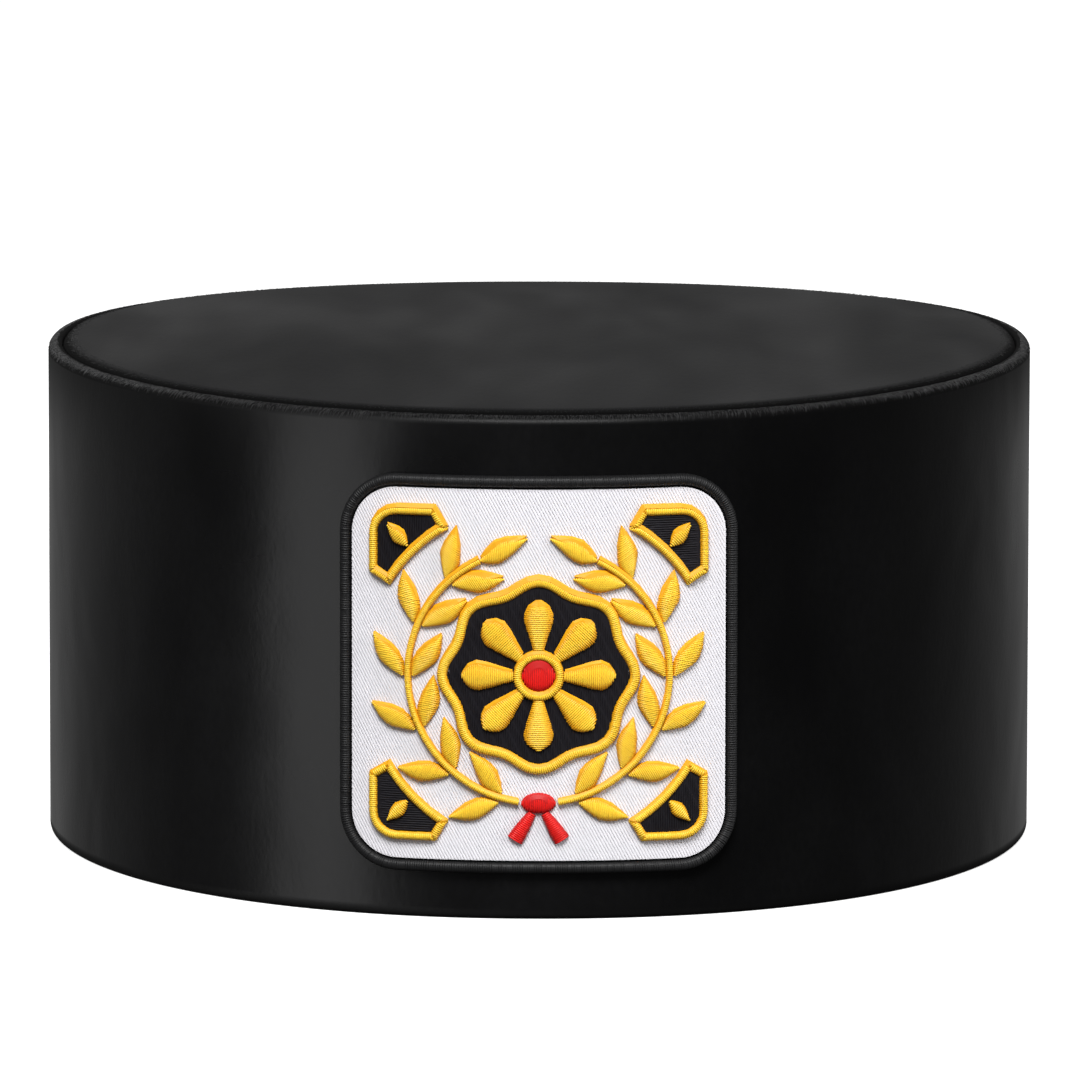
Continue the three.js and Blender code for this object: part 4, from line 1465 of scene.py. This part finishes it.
# Corner fans: each black field has a mitred gold edge, and a gold bud that points into the corner.
BUD_GAP = 0.0006
BUD_LENGTH = EMBLEM_HALF * 0.16
BUD_WIDTH = EMBLEM_HALF * 0.08
edges = [line for quarter in range(4) for line in mitred_lines(turned(fan_edge_line, quarter), FAN_EDGE)]
fan_stitches = satin_piece("corner_rim_stitches", edges, ON_CLOTH, satin_values(SATIN_HEIGHT, gold_thread, 27))
buds = []
for quarter in range(4):
    angle = math.pi / 2 * quarter + math.radians(FAN_TURN)
    buds.append(leaf_line(polar(FAN_HOLLOW + FAN_EDGE + BUD_GAP, angle), angle, BUD_LENGTH, BUD_WIDTH, LEAF_OUTLINE))
bud_stitches = satin_piece("corner_bud_stitches", buds, ON_FIELD, satin_values(PETAL_HEIGHT, gold_thread, 28))
dress_nodes([f"corner_{part}_{i + 1}" for part in ("rim", "bud") for i in range(4)], gold_padding_in_shade)

# Studio: a pale floor, a tall soft box to the left, a key light in front and above, and a soft surround.
PHOTO_SIDE = 1080
FOCAL_PIXELS = 8766.8
SENSOR = 36.0
CAMERA_PLACE = (0.000194, -1.58894, 0.27539)
CAMERA_PITCH = 0.1401
CAMERA_ROLL = 0.0016
FLOOR_SIZE = 8.0


def floor_material():
    """A white floor that glows a little, so that it has no edge, and that isn't seen from below."""
    material, tree, surface = new_material("pale floor")
    shader = add_node(
        tree,
        "ShaderNodeBsdfPrincipled",
        {
            "Base Color": (0.6, 0.6, 0.6, 1),
            "Roughness": 1.0,
            "Specular IOR Level": 0.0,
            "Emission Color": (1, 1, 1, 1),
            "Emission Strength": 0.8,
        },
    )
    below = add_node(tree, "ShaderNodeNewGeometry").outputs["Backfacing"]
    clear = add_node(tree, "ShaderNodeBsdfTransparent")
    shown = add_node(tree, "ShaderNodeMixShader", {0: below, 1: shader.outputs[0], 2: clear.outputs[0]})
    tree.links.new(shown.outputs[0], surface)
    return material


floor_mesh = bpy.data.meshes.new("floor")
half = FLOOR_SIZE / 2
floor_mesh.from_pydata([(-half, -half, 0), (half, -half, 0), (half, half, 0), (-half, half, 0)], [], [(0, 1, 2, 3)])
floor = bpy.data.objects.new("floor", floor_mesh)
bpy.context.scene.collection.objects.link(floor)
floor_mesh.materials.append(floor_material())
floor.visible_glossy = False
floor.visible_diffuse = False


def area_light(name, place, target, width, height, power):
    light = bpy.data.lights.new(name, "AREA")
    light.shape = "RECTANGLE"
    light.size = width
    light.size_y = height
    light.energy = power
    made = bpy.data.objects.new(name, light)
    made.location = place
    made.rotation_euler = (Vector(target) - Vector(place)).to_track_quat("-Z", "Y").to_euler()
    bpy.context.scene.collection.objects.link(made)
    return made


def around(azimuth, distance, height):
    """A place so many degrees round from the front, towards +X, at a distance from the cap."""
    turn = math.radians(azimuth)
    return (distance * math.sin(turn), -distance * math.cos(turn), height)


area_light("key", around(-3, 1.5, 1.9), (0, 0, 0.04), 1.2, 0.9, 78)
soft_box = area_light("soft box", around(-50, 1.2, 0.15), (0, 0, 0.04), 0.6, 1.6, 14.6)
soft_box.light_linking.receiver_collection = bpy.data.collections.new("velvet")
for piece in (band, panel, roll_nap):
    soft_box.light_linking.receiver_collection.objects.link(piece)
strip = area_light("strip", around(62, 1.2, 0.35), (0, 0, 0.04), 0.3, 0.8, 5)
strip.light_linking.receiver_collection = bpy.data.collections.new("embroidery")
for piece in bpy.context.scene.collection.objects:
    if piece.type == "MESH" and piece not in (band, panel, roll_nap, panel_nap, floor):
        strip.light_linking.receiver_collection.objects.link(piece)

world = bpy.data.worlds.new("surround")
bpy.context.scene.world = world
world.use_nodes = True
world_tree = world.node_tree
world_tree.nodes.clear()
seen = add_node(world_tree, "ShaderNodeBackground", {"Color": (1, 1, 1, 1), "Strength": 1.0})
way = add_node(world_tree, "ShaderNodeTexCoord").outputs["Generated"]
behind = add_node(world_tree, "ShaderNodeSeparateXYZ", {0: way}).outputs[1]
backdrop = ramp(world_tree, behind, 0.17, 0.29, 0.2, 0.9)
felt = add_node(world_tree, "ShaderNodeBackground", {"Color": (1, 1, 1, 1), "Strength": backdrop})
rays = add_node(world_tree, "ShaderNodeLightPath")
blend = add_node(
    world_tree, "ShaderNodeMixShader", {0: rays.outputs["Is Camera Ray"], 1: felt.outputs[0], 2: seen.outputs[0]}
)
world_out = add_node(world_tree, "ShaderNodeOutputWorld", {"Surface": blend.outputs[0]})

camera_data = bpy.data.cameras.new("camera")
camera_data.sensor_fit = "HORIZONTAL"
camera_data.sensor_width = SENSOR
camera_data.lens = FOCAL_PIXELS * SENSOR / PHOTO_SIDE
camera_data.clip_start = 0.05
camera_data.clip_end = 50
camera = bpy.data.objects.new("camera", camera_data)
camera.location = CAMERA_PLACE
aim = Matrix.Rotation(math.pi / 2 - CAMERA_PITCH, 3, "X") @ Matrix.Rotation(CAMERA_ROLL, 3, "Z")
camera.rotation_euler = aim.to_euler()
bpy.context.scene.collection.objects.link(camera)
bpy.context.scene.camera = camera
bpy.context.scene.view_settings.view_transform = "Standard"
